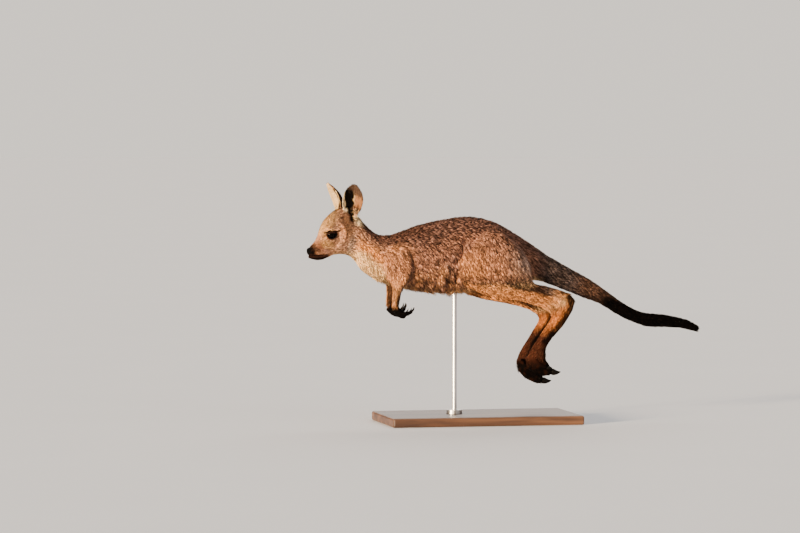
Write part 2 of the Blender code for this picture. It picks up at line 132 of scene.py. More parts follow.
def writePoints(mesh, points):
    mesh.vertices.foreach_set("co", points.astype(np.float32).ravel())
    mesh.update()


def spread(values, edges, rounds, share=0.5):  # evens values out over a mesh, a ring at a time
    values = np.array(values, float)
    flat = values.reshape(len(values), -1)
    count = len(flat)
    a, b = np.concatenate([edges[:, 0], edges[:, 1]]), np.concatenate([edges[:, 1], edges[:, 0]])
    degree = np.maximum(np.bincount(a, minlength=count), 1)
    share = np.broadcast_to(share, count)
    for _ in range(rounds):
        for k in range(flat.shape[1]):
            mean = np.bincount(a, weights=flat[b, k], minlength=count) / degree
            flat[:, k] += share * (mean - flat[:, k])
    return flat.reshape(values.shape)


def selectOnly(*pieces):
    bpy.ops.object.select_all(action="DESELECT")
    for piece in pieces:
        piece.select_set(True)
    bpy.context.view_layer.objects.active = pieces[0]


def joinPieces(pieces, name):
    selectOnly(*pieces)
    bpy.ops.object.join()
    pieces[0].name = pieces[0].data.name = name
    return pieces[0]


def applyAll(piece):
    selectOnly(piece)
    for modifier in list(piece.modifiers):
        bpy.ops.object.modifier_apply(modifier=modifier.name)


def copyNode(name):
    twin = bpy.data.objects.new("copy " + name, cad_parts[name].data.copy())
    twin.data.materials.clear()
    bpy.context.collection.objects.link(twin)
    selectOnly(twin)
    bpy.ops.object.mode_set(mode="EDIT")
    bpy.ops.mesh.select_all(action="SELECT")
    bpy.ops.mesh.remove_doubles(threshold=0.00002)
    bpy.ops.object.mode_set(mode="OBJECT")
    return twin


def meshFromArrays(name, points, loops, starts, material=None):
    mesh = bpy.data.meshes.new(name)
    mesh.vertices.add(len(points))
    mesh.vertices.foreach_set("co", points.astype(np.float32).ravel())
    mesh.loops.add(len(loops))
    mesh.loops.foreach_set("vertex_index", loops.astype(np.int32))
    mesh.polygons.add(len(starts))
    mesh.polygons.foreach_set("loop_start", starts.astype(np.int32))
    mesh.update(calc_edges=True)
    mesh.polygons.foreach_set("use_smooth", np.ones(len(starts), bool))
    if material:
        mesh.materials.append(material)
    piece = bpy.data.objects.new(name, mesh)
    bpy.context.collection.objects.link(piece)
    return piece


def repeatFaces(faces, count, pointsEach):  # the corners and starts of one small shape made many times
    corners = np.concatenate([np.array(face) for face in faces])
    firsts = np.concatenate([[0], np.cumsum([len(face) for face in faces])[:-1]])
    loops = (corners[None, :] + (np.arange(count) * pointsEach)[:, None]).ravel()
    starts = (firsts[None, :] + (np.arange(count) * len(corners))[:, None]).ravel()
    return corners, loops, starts


def putColour(mesh, colours):
    layer = mesh.attributes.new("tone", "FLOAT_COLOR", "POINT")
    four = np.ones((len(colours), 4), np.float32)
    four[:, :3] = colours
    layer.data.foreach_set("color", four.ravel())


def putBakeMap(mesh, places):
    layer = mesh.uv_layers.new(name="OFBake")
    layer.data.foreach_set("uv", np.clip(places, 0.0, 1.0).astype(np.float32).ravel())


# shader parts that more than one finish uses

def mathNode(nodes, links, operation, *values):
    node = nodes.new("ShaderNodeMath")
    node.operation = operation
    for k, value in enumerate(values):
        if isinstance(value, float):
            node.inputs[k].default_value = value
        else:
            links.new(value, node.inputs[k])
    return node.outputs[0]


def makeMottleGroup():  # colour made lighter and darker in soft patches and fine specks
    group = bpy.data.node_groups.new("mottle", "ShaderNodeTree")
    for label in ("Patch size", "Speck size", "Amount"):
        group.interface.new_socket(label, in_out="INPUT", socket_type="NodeSocketFloat")
    group.interface.new_socket("Height", in_out="OUTPUT", socket_type="NodeSocketFloat")
    for way in ("INPUT", "OUTPUT"):
        group.interface.new_socket("Colour", in_out=way, socket_type="NodeSocketColor")
    nodes, links = group.nodes, group.links
    given, result = nodes.new("NodeGroupInput"), nodes.new("NodeGroupOutput")
    place = nodes.new("ShaderNodeTexCoord")
    patches, specks = nodes.new("ShaderNodeTexNoise"), nodes.new("ShaderNodeTexNoise")
    for noise, size, detail in ((patches, "Patch size", 3.0), (specks, "Speck size", 2.0)):
        noise.inputs["Detail"].default_value = detail
        links.new(place.outputs["Object"], noise.inputs["Vector"])
        links.new(given.outputs[size], noise.inputs["Scale"])
    both = mathNode(nodes, links, "ADD", patches.outputs["Fac"], specks.outputs["Fac"])
    centred = mathNode(nodes, links, "SUBTRACT", both, 1.0)
    scaled = mathNode(nodes, links, "MULTIPLY_ADD", centred, given.outputs["Amount"], 1.0)
    tint = nodes.new("ShaderNodeVectorMath")
    tint.operation = "SCALE"
    links.new(given.outputs["Colour"], tint.inputs[0])
    links.new(scaled, tint.inputs["Scale"])
    links.new(tint.outputs[0], result.inputs["Colour"])
    links.new(specks.outputs["Fac"], result.inputs["Height"])
    return group


mottle = makeMottleGroup()


def setInputs(node, values):
    for label, value in values.items():
        node.inputs[label].default_value = value


def newFinish(name, surface):
    material = bpy.data.materials.new(name)
    material.use_nodes = True
    shader = material.node_tree.nodes["Principled BSDF"]
    setInputs(shader, surface)
    return material, material.node_tree.nodes, material.node_tree.links, shader


def addBump(nodes, links, height, shader, strength, distance):
    node = nodes.new("ShaderNodeBump")
    setInputs(node, {"Strength": strength, "Distance": distance})
    links.new(height, node.inputs["Height"])
    links.new(node.outputs["Normal"], shader.inputs["Normal"])


def makeFinish(name, plan):  # a mottled colour, or the piece's own markings where the plan has none
    material, nodes, links, shader = newFinish(name, plan["surface"])
    group = nodes.new("ShaderNodeGroup")
    group.node_tree = mottle
    setInputs(group, dict(zip(("Patch size", "Speck size", "Amount"), plan["mottle"])))
    if "colour" in plan:
        group.inputs["Colour"].default_value = (*plan["colour"], 1)
    else:
        tone = nodes.new("ShaderNodeAttribute")
        tone.attribute_name = "tone"
        links.new(tone.outputs["Color"], group.inputs["Colour"])
    links.new(group.outputs["Colour"], shader.inputs["Base Color"])
    if "relief" in plan:
        addBump(nodes, links, group.outputs["Height"], shader, *plan["relief"])
    return material, nodes, links, shader


hairSurface = {"surface": {"Roughness": 0.75, "Specular IOR Level": 0.04}, "mottle": (38.0, 520.0, 0.45)}
skinSurface = {"surface": {"Roughness": 0.85, "Specular IOR Level": 0.04}, "mottle": (38.0, 520.0, 0.4),
               "relief": (0.5, 0.0012)}
coatFinish = makeFinish("coatHair", hairSurface)[0]
skinFinish = makeFinish("coatedSkin", skinSurface)[0]

# the form under the coat

skinPlan = {
    "voxel": 1.3 * mm,
    "flesh": ("head", "lower_jaw", "neck", "chest", "abdomen", "rump", "tail_base", "tail_middle",
              "tail_end"),
    "paired": ("upper_arm", "forearm", "hand", "thigh", "shank", "foot", "toe_main", "toe_side", "toe_inner"),
    "fillers": ("eye_left", "eye_right", "nose"),
    "samples": 900, "plugRadius": 5.6, "plugDepth": 20, "target": 186000,
}
# for each part: coat depth, share of smoothing, hair length, hair height, half width, hairs per square mm,
# and the lie of the coat
partPlan = {
    "head": (1.2, 0.25, 6.5, 1.5, 0.42, 0.95, (0.80, 0, 0.35)),
    "lower_jaw": (1.0, 0.25, 4.5, 0.9, 0.40, 0.95, (0.95, 0, 0.10)),
    "ear": (0.2, 0.05, 4.5, 0.7, 0.34, 0.75, (0, 0, 1)),
    "neck": (6.0, 0.9, 15.0, 5.5, 0.72, 0.40, (0.72, 0, -0.62)),
    "chest": (7.0, 1.0, 17.0, 6.5, 0.80, 0.38, (0.88, 0, -0.42)),
    "abdomen": (6.5, 1.0, 16.0, 5.5, 0.80, 0.38, (0.94, 0, -0.28)),
    "rump": (6.0, 1.0, 15.0, 5.0, 0.80, 0.38, (0.88, 0, -0.42)),
    "tail_base": (5.0, 0.9, 15.0, 4.5, 0.75, 0.38, (0.85, 0, -0.52)),
    "tail_middle": (4.0, 0.6, 13.0, 3.6, 0.70, 0.42, (0.85, 0, -0.52)),
    "tail_end": (2.6, 0.5, 13.0, 3.4, 0.68, 0.48, (0.95, 0, -0.25)),
    "upper_arm": (4.5, 0.6, 12.0, 4.0, 0.62, 0.50, (0.05, 0, -1)),
    "forearm": (2.2, 0.4, 8.5, 1.8, 0.50, 0.70, (-0.1, 0, -1)),
    "hand": (-0.3, 0.12, 3.4, 0.5, 0.32, 0.75, (-0.1, 0, -1)),
    "thigh": (5.0, 0.9, 15.0, 4.5, 0.75, 0.40, (0.42, 0, -0.9)),
    "shank": (3.0, 0.6, 10.0, 2.6, 0.60, 0.52, (0.94, 0, -0.33)),
    "foot": (1.4, 0.4, 6.0, 1.3, 0.46, 0.62, (-0.48, 0, -0.88)),
    "toe_main": (0.6, 0.15, 3.2, 0.5, 0.34, 0.7, (0.85, 0, -0.4)),
    "toe_side": (0.4, 0.12, 2.8, 0.4, 0.30, 0.7, (0.3, 0, -0.9)),
    "toe_inner": (0.4, 0.12, 2.8, 0.4, 0.30, 0.7, (0.5, 0, -0.85)),
}
partNames = list(partPlan)
partValues = np.array([row[:6] for row in partPlan.values()])
earPlan = {
    "width": 46.0, "wall": 2.1, "wrapRoot": 118.0, "wrapTip": 45.0, "rows": 60, "columns": 56,
    "widths": (0.38, 0.52, 0.78, 0.95, 1.0, 0.93, 0.7, 0.22),
    # root, length, the way it points and the way its hollow faces
    "left": ((-287, -21, 439), 78, (0.13, -0.13, 1.0), (-0.42, -0.9, 0.05)),
    "right": ((-299, 20, 441), 82, (-0.33, 0.17, 1.0), (-0.99, -0.16, -0.2)),
}
eyePlan = {
    "centre": (-326.3, 23.5, 409.8), "radius": 12.0, "gaze": (-0.04, 0.98, -0.13), "tilt": 7.0,
    "halfLong": 10.5, "halfUp": 4.9, "halfDown": 6.4, "corner": 1.65, "lid": 1.4,
}


def among(values, *names):  # which of the part numbers are these parts
    return np.isin(values, [partNames.index(name) for name in names])


def earFrame(side):
    root, length, axis, faces = earPlan[side]
    axis, faces = unitOf(axis), np.array(faces, float)
    faces = unitOf(faces - axis * faces.dot(axis))
    return np.array(root, float), length, axis, faces, np.cross(axis, faces)


def earGrid(side):  # the middle surface of the scoop, in mm
    root, length, axis, faces, across = earFrame(side)
    knots = np.linspace(0, 1, len(earPlan["widths"]))
    fine = np.linspace(0, 1, 200)
    widths = np.interp(fine, knots, earPlan["widths"])
    for _ in range(120):  # rounds the corners of the outline
        widths[1:-1] += 0.5 * ((widths[:-2] + widths[2:]) / 2 - widths[1:-1])
    grid = []
    for share in np.linspace(0, 1, earPlan["rows"] + 1):
        half = earPlan["width"] / 2 * np.interp(share, fine, widths)
        wrap = math.radians(earPlan["wrapRoot"] + (earPlan["wrapTip"] - earPlan["wrapRoot"]) * share**0.45)
        radius = half / math.sin(min(wrap, math.pi / 2))
        for turn in wrap * np.linspace(-1, 1, earPlan["columns"] + 1):
            back = radius * (math.cos(turn) - math.cos(wrap) * share)
            grid.append(root + axis * length * share + across * radius * math.sin(turn) - faces * back)
    return np.array(grid)


def makeEarForm(side):
    grid = earGrid(side) * mm
    index = np.arange(len(grid)).reshape(earPlan["rows"] + 1, earPlan["columns"] + 1)
    quads = np.stack([index[:-1, :-1], index[:-1, 1:], index[1:, 1:], index[1:, :-1]], -1).reshape(-1, 4)
    ear = meshFromArrays("ear form " + side, grid, quads.ravel(), np.arange(len(quads)) * 4)
    wall = ear.modifiers.new("wall", "SOLIDIFY")
    wall.thickness = earPlan["wall"] * mm
    wall.offset = 0.0
    applyAll(ear)
    return ear


def areasOf(triangles):  # twice each area
    first, second, third = triangles[:, 0], triangles[:, 1], triangles[:, 2]
    return np.linalg.norm(np.cross(second - first, third - first), axis=1)


def samplePart(mesh, seed):  # places spread over a mesh
    count = skinPlan["samples"]
    points = readPoints(mesh)[readTriangles(mesh)]
    area = areasOf(points)
    chosen = np.searchsorted(np.cumsum(area) / area.sum(), (np.arange(count) + 0.5) / count)
    a, b = pointsBetween(np.random.default_rng(seed), count)
    p = points[np.minimum(chosen, len(points) - 1)]
    return p[:, 0] + (p[:, 1] - p[:, 0]) * a[:, None] + (p[:, 2] - p[:, 0]) * b[:, None]


print("form: copying the flesh")
fleshNodes = list(skinPlan["flesh"])
for stem in skinPlan["paired"]:
    fleshNodes += [stem + "_left", stem + "_right"]
copies, samples, sampleParts = [], [], []
for number, node in enumerate(fleshNodes):
    copies.append(copyNode(node))
    samples.append(samplePart(copies[-1].data, number))
    stem = node.replace("_left", "").replace("_right", "")
    sampleParts += [partNames.index(stem)] * len(samples[-1])
for side in ("left", "right"):
    copies.append(makeEarForm(side))
    points = samplePart(copies[-1].data, 77)
    clearOfHead = (earPlan[side][0][2] + 12) * mm
    samples.append(points[points[:, 2] >= clearOfHead])
    sampleParts += [partNames.index("ear")] * len(samples[-1])
copies += [copyNode(node) for node in skinPlan["fillers"]]
rodLow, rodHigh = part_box("stand_rod")
bpy.ops.mesh.primitive_cylinder_add(
    vertices=16, radius=skinPlan["plugRadius"] * mm, depth=skinPlan["plugDepth"] * mm,
    location=((rodLow.x + rodHigh.x) / 2, 0, rodHigh.z - 8 * mm))
copies.append(bpy.context.active_object)
skin = joinPieces(copies, "skin")
bpy.ops.object.transform_apply(location=True, rotation=True, scale=True)
remesh = skin.modifiers.new("one skin", "REMESH")
remesh.mode = "VOXEL"
remesh.voxel_size = skinPlan["voxel"]
applyAll(skin)
print("form: one skin of", len(skin.data.vertices), "points")

# each point belongs to the part of the nearest solid
partTree = makeTree(np.concatenate(samples))
sampleParts = np.array(sampleParts)


def partsOf(points):
    return sampleParts[nearestOf(partTree, points)]


points = readPoints(skin.data)
edges = readEdges(skin.data)
part = partsOf(points)
smoothShare = spread(partValues[part, 1], edges, 12) * 0.5
coatDepth = spread(partValues[part, 0], edges, 150)
tailTip = ramp(0.492, 0.44, points[:, 0])
coatDepth *= 0.15 + 0.85 * np.where(points[:, 0] > 0.40, tailTip, 1.0)
before = points
points = spread(points, edges, 90, smoothShare * 0.9)
writePoints(skin.data, points)
normals = readNormals(skin.data)
lost = ((before - points) * normals).sum(1)  # what the smoothing took off the limbs is given back
points = points + normals * spread(lost, edges, 40)[:, None]
writePoints(skin.data, points)
normals = readNormals(skin.data)
belly = ramp(-0.25, -0.8, normals[:, 2]) * ramp(-0.235, -0.2, points[:, 0]) * ramp(0.02, -0.02, points[:, 0])
belly *= among(part, "chest", "abdomen")
coatDepth += 5.0 * spread(belly, edges, 20)
points = points - normals * coatDepth[:, None] * mm
writePoints(skin.data, points)
print("form: smoothed and set in")


def eyeCentre(side):
    return np.array(eyePlan["centre"]) * (1, side, 1)


# more points where the face needs them
selectOnly(skin)
inMm = points * 1000
near = (inMm[:, 0] < -343) & (np.abs(inMm[:, 1]) < 40)
for side in (-1, 1):
    near |= np.linalg.norm(inMm - eyeCentre(side), axis=1) < 21
bpy.ops.object.mode_set(mode="EDIT")
bpy.ops.mesh.select_mode(type="VERT")
bpy.ops.mesh.select_all(action="DESELECT")
bpy.ops.object.mode_set(mode="OBJECT")
skin.data.vertices.foreach_set("select", near)
bpy.ops.object.mode_set(mode="EDIT")
bpy.ops.mesh.select_mode(type="VERT")
bpy.ops.mesh.subdivide(number_cuts=1, quadcorner="INNERVERT", smoothness=0.0)
bpy.ops.object.mode_set(mode="OBJECT")
print("form: face refined to", len(skin.data.vertices), "points")
points = readPoints(skin.data) * 1000
edges = readEdges(skin.data)
fine = (points[:, 0] < -300) & (points[:, 2] > 345)
points = spread(points, edges, 3, np.where(fine, 0.5, 0.0))
writePoints(skin.data, points * mm)
normals = readNormals(skin.data)


def eyeAxes(side):
    gaze = unitOf(np.array(eyePlan["gaze"]) * (1, side, 1))
    tilt = math.radians(eyePlan["tilt"])
    long = np.array((math.cos(tilt), 0, math.sin(tilt)))
    long = unitOf(long - gaze * long.dot(gaze))
    high = np.cross(gaze, long)
    return eyeCentre(side), gaze, long, high * np.sign(high[2])


def eyeOpening(points, side):  # how far over the ball from the edge of the lids, below 0 in the opening
    centre, gaze, long, high = eyeAxes(side)
    ray = unit(points - centre)
    angle = np.arccos(np.clip(ray @ gaze, -1, 1))
    arc = eyePlan["radius"] * angle / np.maximum(np.sin(angle), 1e-6)
    across, up = arc * (ray @ long), arc * (ray @ high)
    halfHigh = np.where(up > 0, eyePlan["halfUp"], eyePlan["halfDown"])
    size = np.maximum(np.hypot(across, up), 1e-6)
    power = eyePlan["corner"]
    share = (np.abs(across) / eyePlan["halfLong"]) ** power + (np.abs(up) / halfHigh) ** power
    share = share ** (1 / power)
    return size * (1 - 1 / np.maximum(share, 0.05)), across, up


headRelief = (  # start, end or none for a round hill, width, rise
    ((-340, 27, 397), (-312, 33, 400), 5.5, 1.3),  # cheek bone
    ((-340, 25, 424), (-322, 31, 427), 5.0, 1.2),  # brow
    ((-343, 27, 403), (-358, 17, 388), 4.5, -1.2),  # tear furrow
    ((-309, 30, 382), None, 15.0, 1.5),  # jaw muscle
    ((-296, 31, 372), (-292, 33, 392), 6.0, -1.2),  # behind the jaw
    ((-352, 14, 372), None, 8.0, 1.2),  # whisker pad
    ((-364, 12, 372), (-350, 17, 380), 3.0, -0.8),  # above the pad
)


def mouthLine(x):  # the height of the mouth along the muzzle
    return 364.2 + 3.5 * np.clip((x + 372) / 44, 0, 1) ** 2


def shapeEye(points, side):  # the socket, the ball's bed, the lids and the fold behind them
    centre = eyeCentre(side)
    reach = points - centre
    distance = np.linalg.norm(reach, axis=1)
    edge, across, up = eyeOpening(points, side)
    reachOut = 8.5 + 6.0 * ramp(-4, 8, across)  # the socket runs out softly behind the eye
    close = (edge < reachOut + 0.5) & (distance < 30) & (points[:, 1] * side > 0)
    inside = edge < 0
    lidTop = eyePlan["radius"] + eyePlan["lid"]
    hold = np.where(inside, 1.0, np.clip((reachOut - edge) / (reachOut - 2.0), 0, 1))
    hold = hold * hold * (3 - 2 * hold)
    fresh = distance + (np.where(inside, eyePlan["radius"] - 3.0, lidTop) - distance) * hold
    fresh += 0.8 * np.exp(-(((edge - 1.1) / 0.9) ** 2)) * ~inside  # the thick edge of the lids
    fresh -= 0.7 * np.exp(-(((edge - 4.2) / 1.1) ** 2))
    moved = centre + unit(reach) * fresh[:, None]
    return np.where(close[:, None], moved, points)


def sculptHead(points, normals):
    move = np.zeros(len(points))
    for side in (-1, 1):
        for start, end, width, rise in headRelief:
            begin = np.array(start) * (1, side, 1)
            if end:
                move += rise * lineBump(points, begin, np.array(end) * (1, side, 1), width)
            else:
                move += rise * bump(points, begin, width)
    inMouth = ramp(-327, -334, points[:, 0])
    height = points[:, 2] - mouthLine(points[:, 0])
    move -= 2.0 * np.exp(-((height / 1.0) ** 2)) * inMouth
    move += 0.7 * np.exp(-(((height + 3.4) / 2.2) ** 2)) * inMouth
    points = points + normals * move[:, None] * ramp(-270, -285, points[:, 0])[:, None]
    for side in (-1, 1):
        points = shapeEye(points, side)
    return points


creases = {  # the folds where the limbs meet the trunk, sunk into the skin and darkened with painted shade: start, end, width, depth
    "before the thigh": ((-46, 392), (-60, 318), 8, 4.5),
    "behind the elbow": ((-148, 350), (-162, 300), 7, 4.5),
    "behind the ribs": ((-70, 372), (-82, 300), 10, 1.6),
}


def creaseShare(points, name):  # 1 in the middle of a fold
    start, end, width, depth = creases[name]
    wavy = points * sideView
    wavy[:, 0] += 3.5 * np.sin(points[:, 2] / 9.0) + 2.0 * np.sin(points[:, 2] / 4.3 + 1)
    return stroke(wavy, start, end, width)


for name in creases:
    outside = ramp(38, 50, np.abs(points[:, 1]))
    points = points - normals * (creaseShare(points, name) * outside * creases[name][3])[:, None]
points = sculptHead(points, normals)
writePoints(skin.data, points * mm)
print("form: head shaped")

# fewer points under the long coat
part = partsOf(points * mm)
keepFine = among(part, "head", "lower_jaw", "ear", "hand", "toe_main", "toe_side", "toe_inner").astype(float)
group = skin.vertex_groups.new(name="thin out")
weights = np.round(np.clip(1.0 - spread(keepFine, edges, 6) * 0.97, 0.02, 1), 1)
for level in np.unique(weights):
    group.add(np.nonzero(weights == level)[0].tolist(), float(max(level, 0.02)), "REPLACE")
thin = skin.modifiers.new("thin out", "DECIMATE")
thin.ratio = skinPlan["target"] / len(readTriangles(skin.data))
thin.vertex_group = "thin out"
thin.use_collapse_triangulate = True
applyAll(skin)
skin.vertex_groups.clear()
print("form: skin of", len(skin.data.polygons), "triangles")
skin.data.polygons.foreach_set("use_smooth", np.ones(len(skin.data.polygons), bool))
skin.data.materials.clear()
skin.data.materials.append(skinFinish)

# markings, shared by the skin and the coat

tones = {
    "back": (0.180, 0.088, 0.064), "flank": (0.32, 0.145, 0.088), "thigh": (0.50, 0.22, 0.115),
    "neck": (0.86, 0.34, 0.09), "cream": (1.0, 0.63, 0.29), "face": (0.90, 0.46, 0.265),
    "facePale": (1.0, 0.57, 0.20), "muzzle": (0.034, 0.013, 0.0085), "leg": (0.66, 0.27, 0.09),
    "rear": (0.33, 0.22, 0.178), "shin": (0.198, 0.132, 0.1068), "black": (0.0022, 0.0012, 0.0009),
    "tail": (0.086, 0.060, 0.053), "tailEnd": (0.120, 0.060, 0.038), "foot": (0.050, 0.016, 0.009),
    # the black of the ears' hollows is painted shade
    "earDark": (0.0022, 0.0014, 0.001), "earCream": (0.90, 0.70, 0.40), "earBack": (0.055, 0.024, 0.015),
    # the bright front rim of the ear: pale fringe with painted light
    "earTan": (0.36, 0.185, 0.095), "earCap": (0.085, 0.055, 0.042), "earRim": (1.0, 0.86, 0.58),
    "pink": (0.60, 0.30, 0.21), "grey": (0.56, 0.42, 0.32), "rust": (0.16, 0.05, 0.028),
    "withers": (0.085, 0.038, 0.026), "nape": (0.31, 0.165, 0.115), "hock": (0.46, 0.155, 0.04),
    "arm": (0.92, 0.42, 0.17), "snout": (0.12, 0.043, 0.025), "temple": (0.42, 0.18, 0.085),
    "scruff": (1.0, 0.78, 0.45), "lid": (0.085, 0.036, 0.022),
}
outline = {
    "top": (
        (-265, 452), (-247, 431), (-225, 413), (-198, 409), (-169, 416), (-128, 430), (-79, 441), (-30, 447),
        (20, 441), (65, 421), (106, 395), (150, 365), (193, 340), (240, 314), (284, 285), (330, 253),
        (374, 234), (422, 228), (465, 215), (492, 199)),
    "bottom": (
        (-269, 346), (-258, 333), (-240, 320), (-214, 307), (-178, 296), (-130, 287), (-79, 283), (-28, 286),
        (31, 291), (81, 299), (112, 305), (138, 303), (176, 290), (225, 271), (268, 255), (316, 227),
        (367, 206), (420, 202), (461, 200), (488, 195)),
}
markPlan = {
    "shankMiddle": ((29, 308), (57, 291), (81, 285), (117, 278), (152, 268), (180, 250)),  # darker above it: the shank's darker upper fur, with painted shade under the thigh
    "innerBand": ((86, 268), (154, 240), (171, 228)),  # painted shade along the inside of the right shank, between the legs
    "heelRim": (
        (175, 283), (189, 275), (196, 263), (193, 249), (183, 231), (171, 213), (154, 196), (138, 176)),
    # the middle of the painted highlight on the heel
    "heelSpot": (177, 264),
    # the painted shade in the left ear's hollow and in the right one's, as shares of the ear's length and half
    # width
    "blackFront": ((0, -0.10), (0.15, -0.26), (0.3, -0.42), (0.42, -0.60), (0.7, -0.84), (0.9, -0.80)),
    "blackRear": (
        (0, 0.24), (0.15, 0.32), (0.3, 0.34), (0.42, 0.27), (0.55, 0.16), (0.7, 0.14), (0.9, 0.05)),
    "earBand": ((0.1, -0.68), (0.4, -0.52), (0.6, -0.42), (0.85, -0.15), (1.0, 0.9)),
    "eyeLines": (  # start, end, width, strength, counted from the middle of the eye: along and up
        ((-14, 4.5), (0, 6.6), 1.9, 1.0), ((0, 6.6), (14, 5.8), 2.1, 1.0), ((14, 5.8), (25, 9), 1.8, 0.85),
        ((-11, 1), (-18, -3.5), 2.0, 0.7)),
}


def alongLine(share, line):
    return np.interp(share, *zip(*line))


def heightShare(x, z):
    low = alongLine(x, outline["bottom"])
    return (z - low) / (alongLine(x, outline["top"]) - low)


def waver(points, size, seed):  # slow, smooth variation over the body, about -1 to 1
    rng = np.random.default_rng(seed)
    total = np.zeros(len(points))
    for _ in range(6):
        direction = rng.normal(size=3)
        direction *= 2 * math.pi / size / np.linalg.norm(direction) * rng.uniform(0.6, 1.5)
        total += np.sin(points @ direction + rng.uniform(0, 6.3))
    return total / 3


def plain(points, name):  # one tone all over
    return np.tile(np.array(tones[name]), (len(points), 1))


def layTones(colour, *layers):  # one tone after another, each over what is there
    for name, share in layers:
        colour = blendTo(colour, tones[name], share)
    return colour


def paintTrunk(points, v):
    x, y, z = points.T
    wave = np.sin(x / 1.9 + 2.4 * waver(points * (1, 1, 0.3), 26, 12))  # the locks hanging along the belly
    hanging = ramp(0.46, 0.26, v) * ramp(-175, -150, x) * ramp(5, -30, x)
    colour = layTones(
        plain(points, "flank"),
        ("back", ramp(0.60, 0.92, v + 0.12 * ramp(-60, -140, x))),
        ("cream", ramp(0.20, 0.02, v) * 0.75),
        ("arm", ramp(0.0, 0.8, wave) * hanging * 0.75),
        ("withers", ramp(0.0, -0.9, wave) * hanging * 0.55),
        ("cream", ramp(-150, -215, x) * ramp(0.52, 0.24, v)),
        ("neck", ramp(-165, -225, x) * ramp(0.28, 0.50, v) * ramp(1.02, 0.80, v)),
        ("nape", ramp(-185, -215, x) * ramp(0.42, 0.66, v) * 0.85),
        ("back", ramp(-150, -200, x) * ramp(0.66, 0.84, v)),
        # darker withers: their dark fur, with painted shade on their upper side
        ("withers", ramp(-100, -150, x) * ramp(0.72, 0.90, v) * 0.8),
        ("scruff", np.clip(stroke(points, (-280, 447), (-273, 440), 8.5) * 1.3, 0, 1) * 0.95))
    # painted shade along the folds where the limbs meet the trunk
    for name in creases:
        dark = "withers" if name == "behind the elbow" else "back"
        colour = layTones(colour, (dark, creaseShare(points, name) * ramp(38, 50, np.abs(y)) * 0.85))
    return colour


def paintTail(points, v):
    x = points[:, 0]
    return layTones(
        plain(points, "tail"), ("tailEnd", ramp(190, 240, x)),
        ("black", ramp(240, 298, x + (0.5 - v) * 60 + 8 * waver(points, 30, 3))))


def paintThigh(points):
    x, y, z = points.T
    return layTones(
        plain(points, "thigh"), ("rear", ramp(20, 100, x)), ("leg", ramp(15, -30, x) * 0.6),
        ("back", ramp(352, 408, z) * 0.8), ("leg", ramp(355, 315, z) * 0.35),
        # painted shade along the underside of the thigh
        ("back", ramp(335, 305, z) * ramp(115, 50, x) * 0.95))


def paintShank(points, normals):
    x, y, z = points.T
    above = z - alongLine(x, markPlan["shankMiddle"])
    innerSide = -normals[:, 1] * np.sign(y)
    shank = layTones(
        # darker above the middle line: darker upper fur, with painted shade under the thigh and knee
        plain(points, "leg"), ("shin", ramp(0, 12, above) * ramp(175, 140, x)),
        ("muzzle", ramp(1, 9, above) * ramp(165, 120, x) * 0.95),
        ("muzzle", ramp(0.2, 0.9, waver(points, 17, 52)) * 0.3),
        # painted shade on the inner side of each shank, between the legs
        ("foot", ramp(0.1, 0.7, innerSide) * ramp(-8, 2, above) * 0.6))
    # painted shade along the inside of the right shank, between the legs
    for start, end in zip(markPlan["innerBand"][:-1], markPlan["innerBand"][1:]):
        band = np.clip(stroke(points, start, end, 6) * 1.5, 0, 1) * ramp(0.1, 0.5, innerSide) * (y > 0)
        shank = layTones(shank, ("muzzle", band * 0.95))
    return shank


def paintFoot(points, normals):
    x, y, z = points.T
    soleSide = normals[:, 0] - 0.45 * normals[:, 1] * np.sign(y)  # the dark sole wraps round the inner side
    return layTones(
        plain(points, "leg"), ("hock", ramp(265, 235, z)),
        ("foot", ramp(222, 185, z + 4 * waver(points, 18, 8))), ("black", ramp(150, 118, z)),
        ("black", ramp(0.05, 0.5, soleSide) * ramp(288, 270, z)),
        ("foot", ramp(0.2, 0.9, waver(points, 15, 51)) * 0.3))


def paintHeels(colour, points, masks):  # a painted highlight on the heel and the dark rim behind it
    leftHeel, rightHeel = (np.array(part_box("foot_" + label)[1]) * 1000 for label in ("left", "right"))
    legs = np.clip(masks["foot"] + masks["shank"], 0, 1)
    rimLine = markPlan["heelRim"]
    for rightSide in (False, True):
        place = points - (rightHeel - leftHeel) * rightSide
        here = legs * ((points[:, 1] > 0) == rightSide)
        rim = np.zeros(len(points))
        for start, end in zip(rimLine[:-1], rimLine[1:]):
            for out in (0, 8):  # the band and the fur that shows past it
                rim = np.maximum(rim, stroke(
                    place, (start[0] + out, start[1] - out * 0.2), (end[0] + out, end[1] - out * 0.2), 6))
        rim = np.clip(rim * (1.5 + 0.8 * waver(points, 12, 53)), 0, 1)
        # painted highlight on the heel
        pale = spot(place, markPlan["heelSpot"], 7) * here
        colour = layTones(colour, ("cream", pale * 0.9), ("black", rim * here * 0.92))
    return colour


def paintArm(points, normals):
    x, y, z = points.T
    facing = normals[:, 0]
    shadedInnerArm = ramp(0.0, 0.4, -normals[:, 1] * np.sign(y)) * ramp(325, 300, z)
    return layTones(
        # upper arm darker towards the shoulder, then painted shade on the side of the arm that faces back
        plain(points, "arm"), ("thigh", ramp(300, 340, z) * 0.85), ("back", ramp(0.1, 0.7, facing) * 0.9),
        # the forearm's darker lower end, with painted shade on its rear side
        ("muzzle", ramp(-0.25, 0.25, facing) * ramp(298, 276, z) * 0.9),
        # painted shade on the inner side, between the arms
        ("muzzle", ramp(-0.97, -0.75, facing) * shadedInnerArm * 0.95),
        ("black", ramp(262, 248, z - 0.35 * (x + 188))))


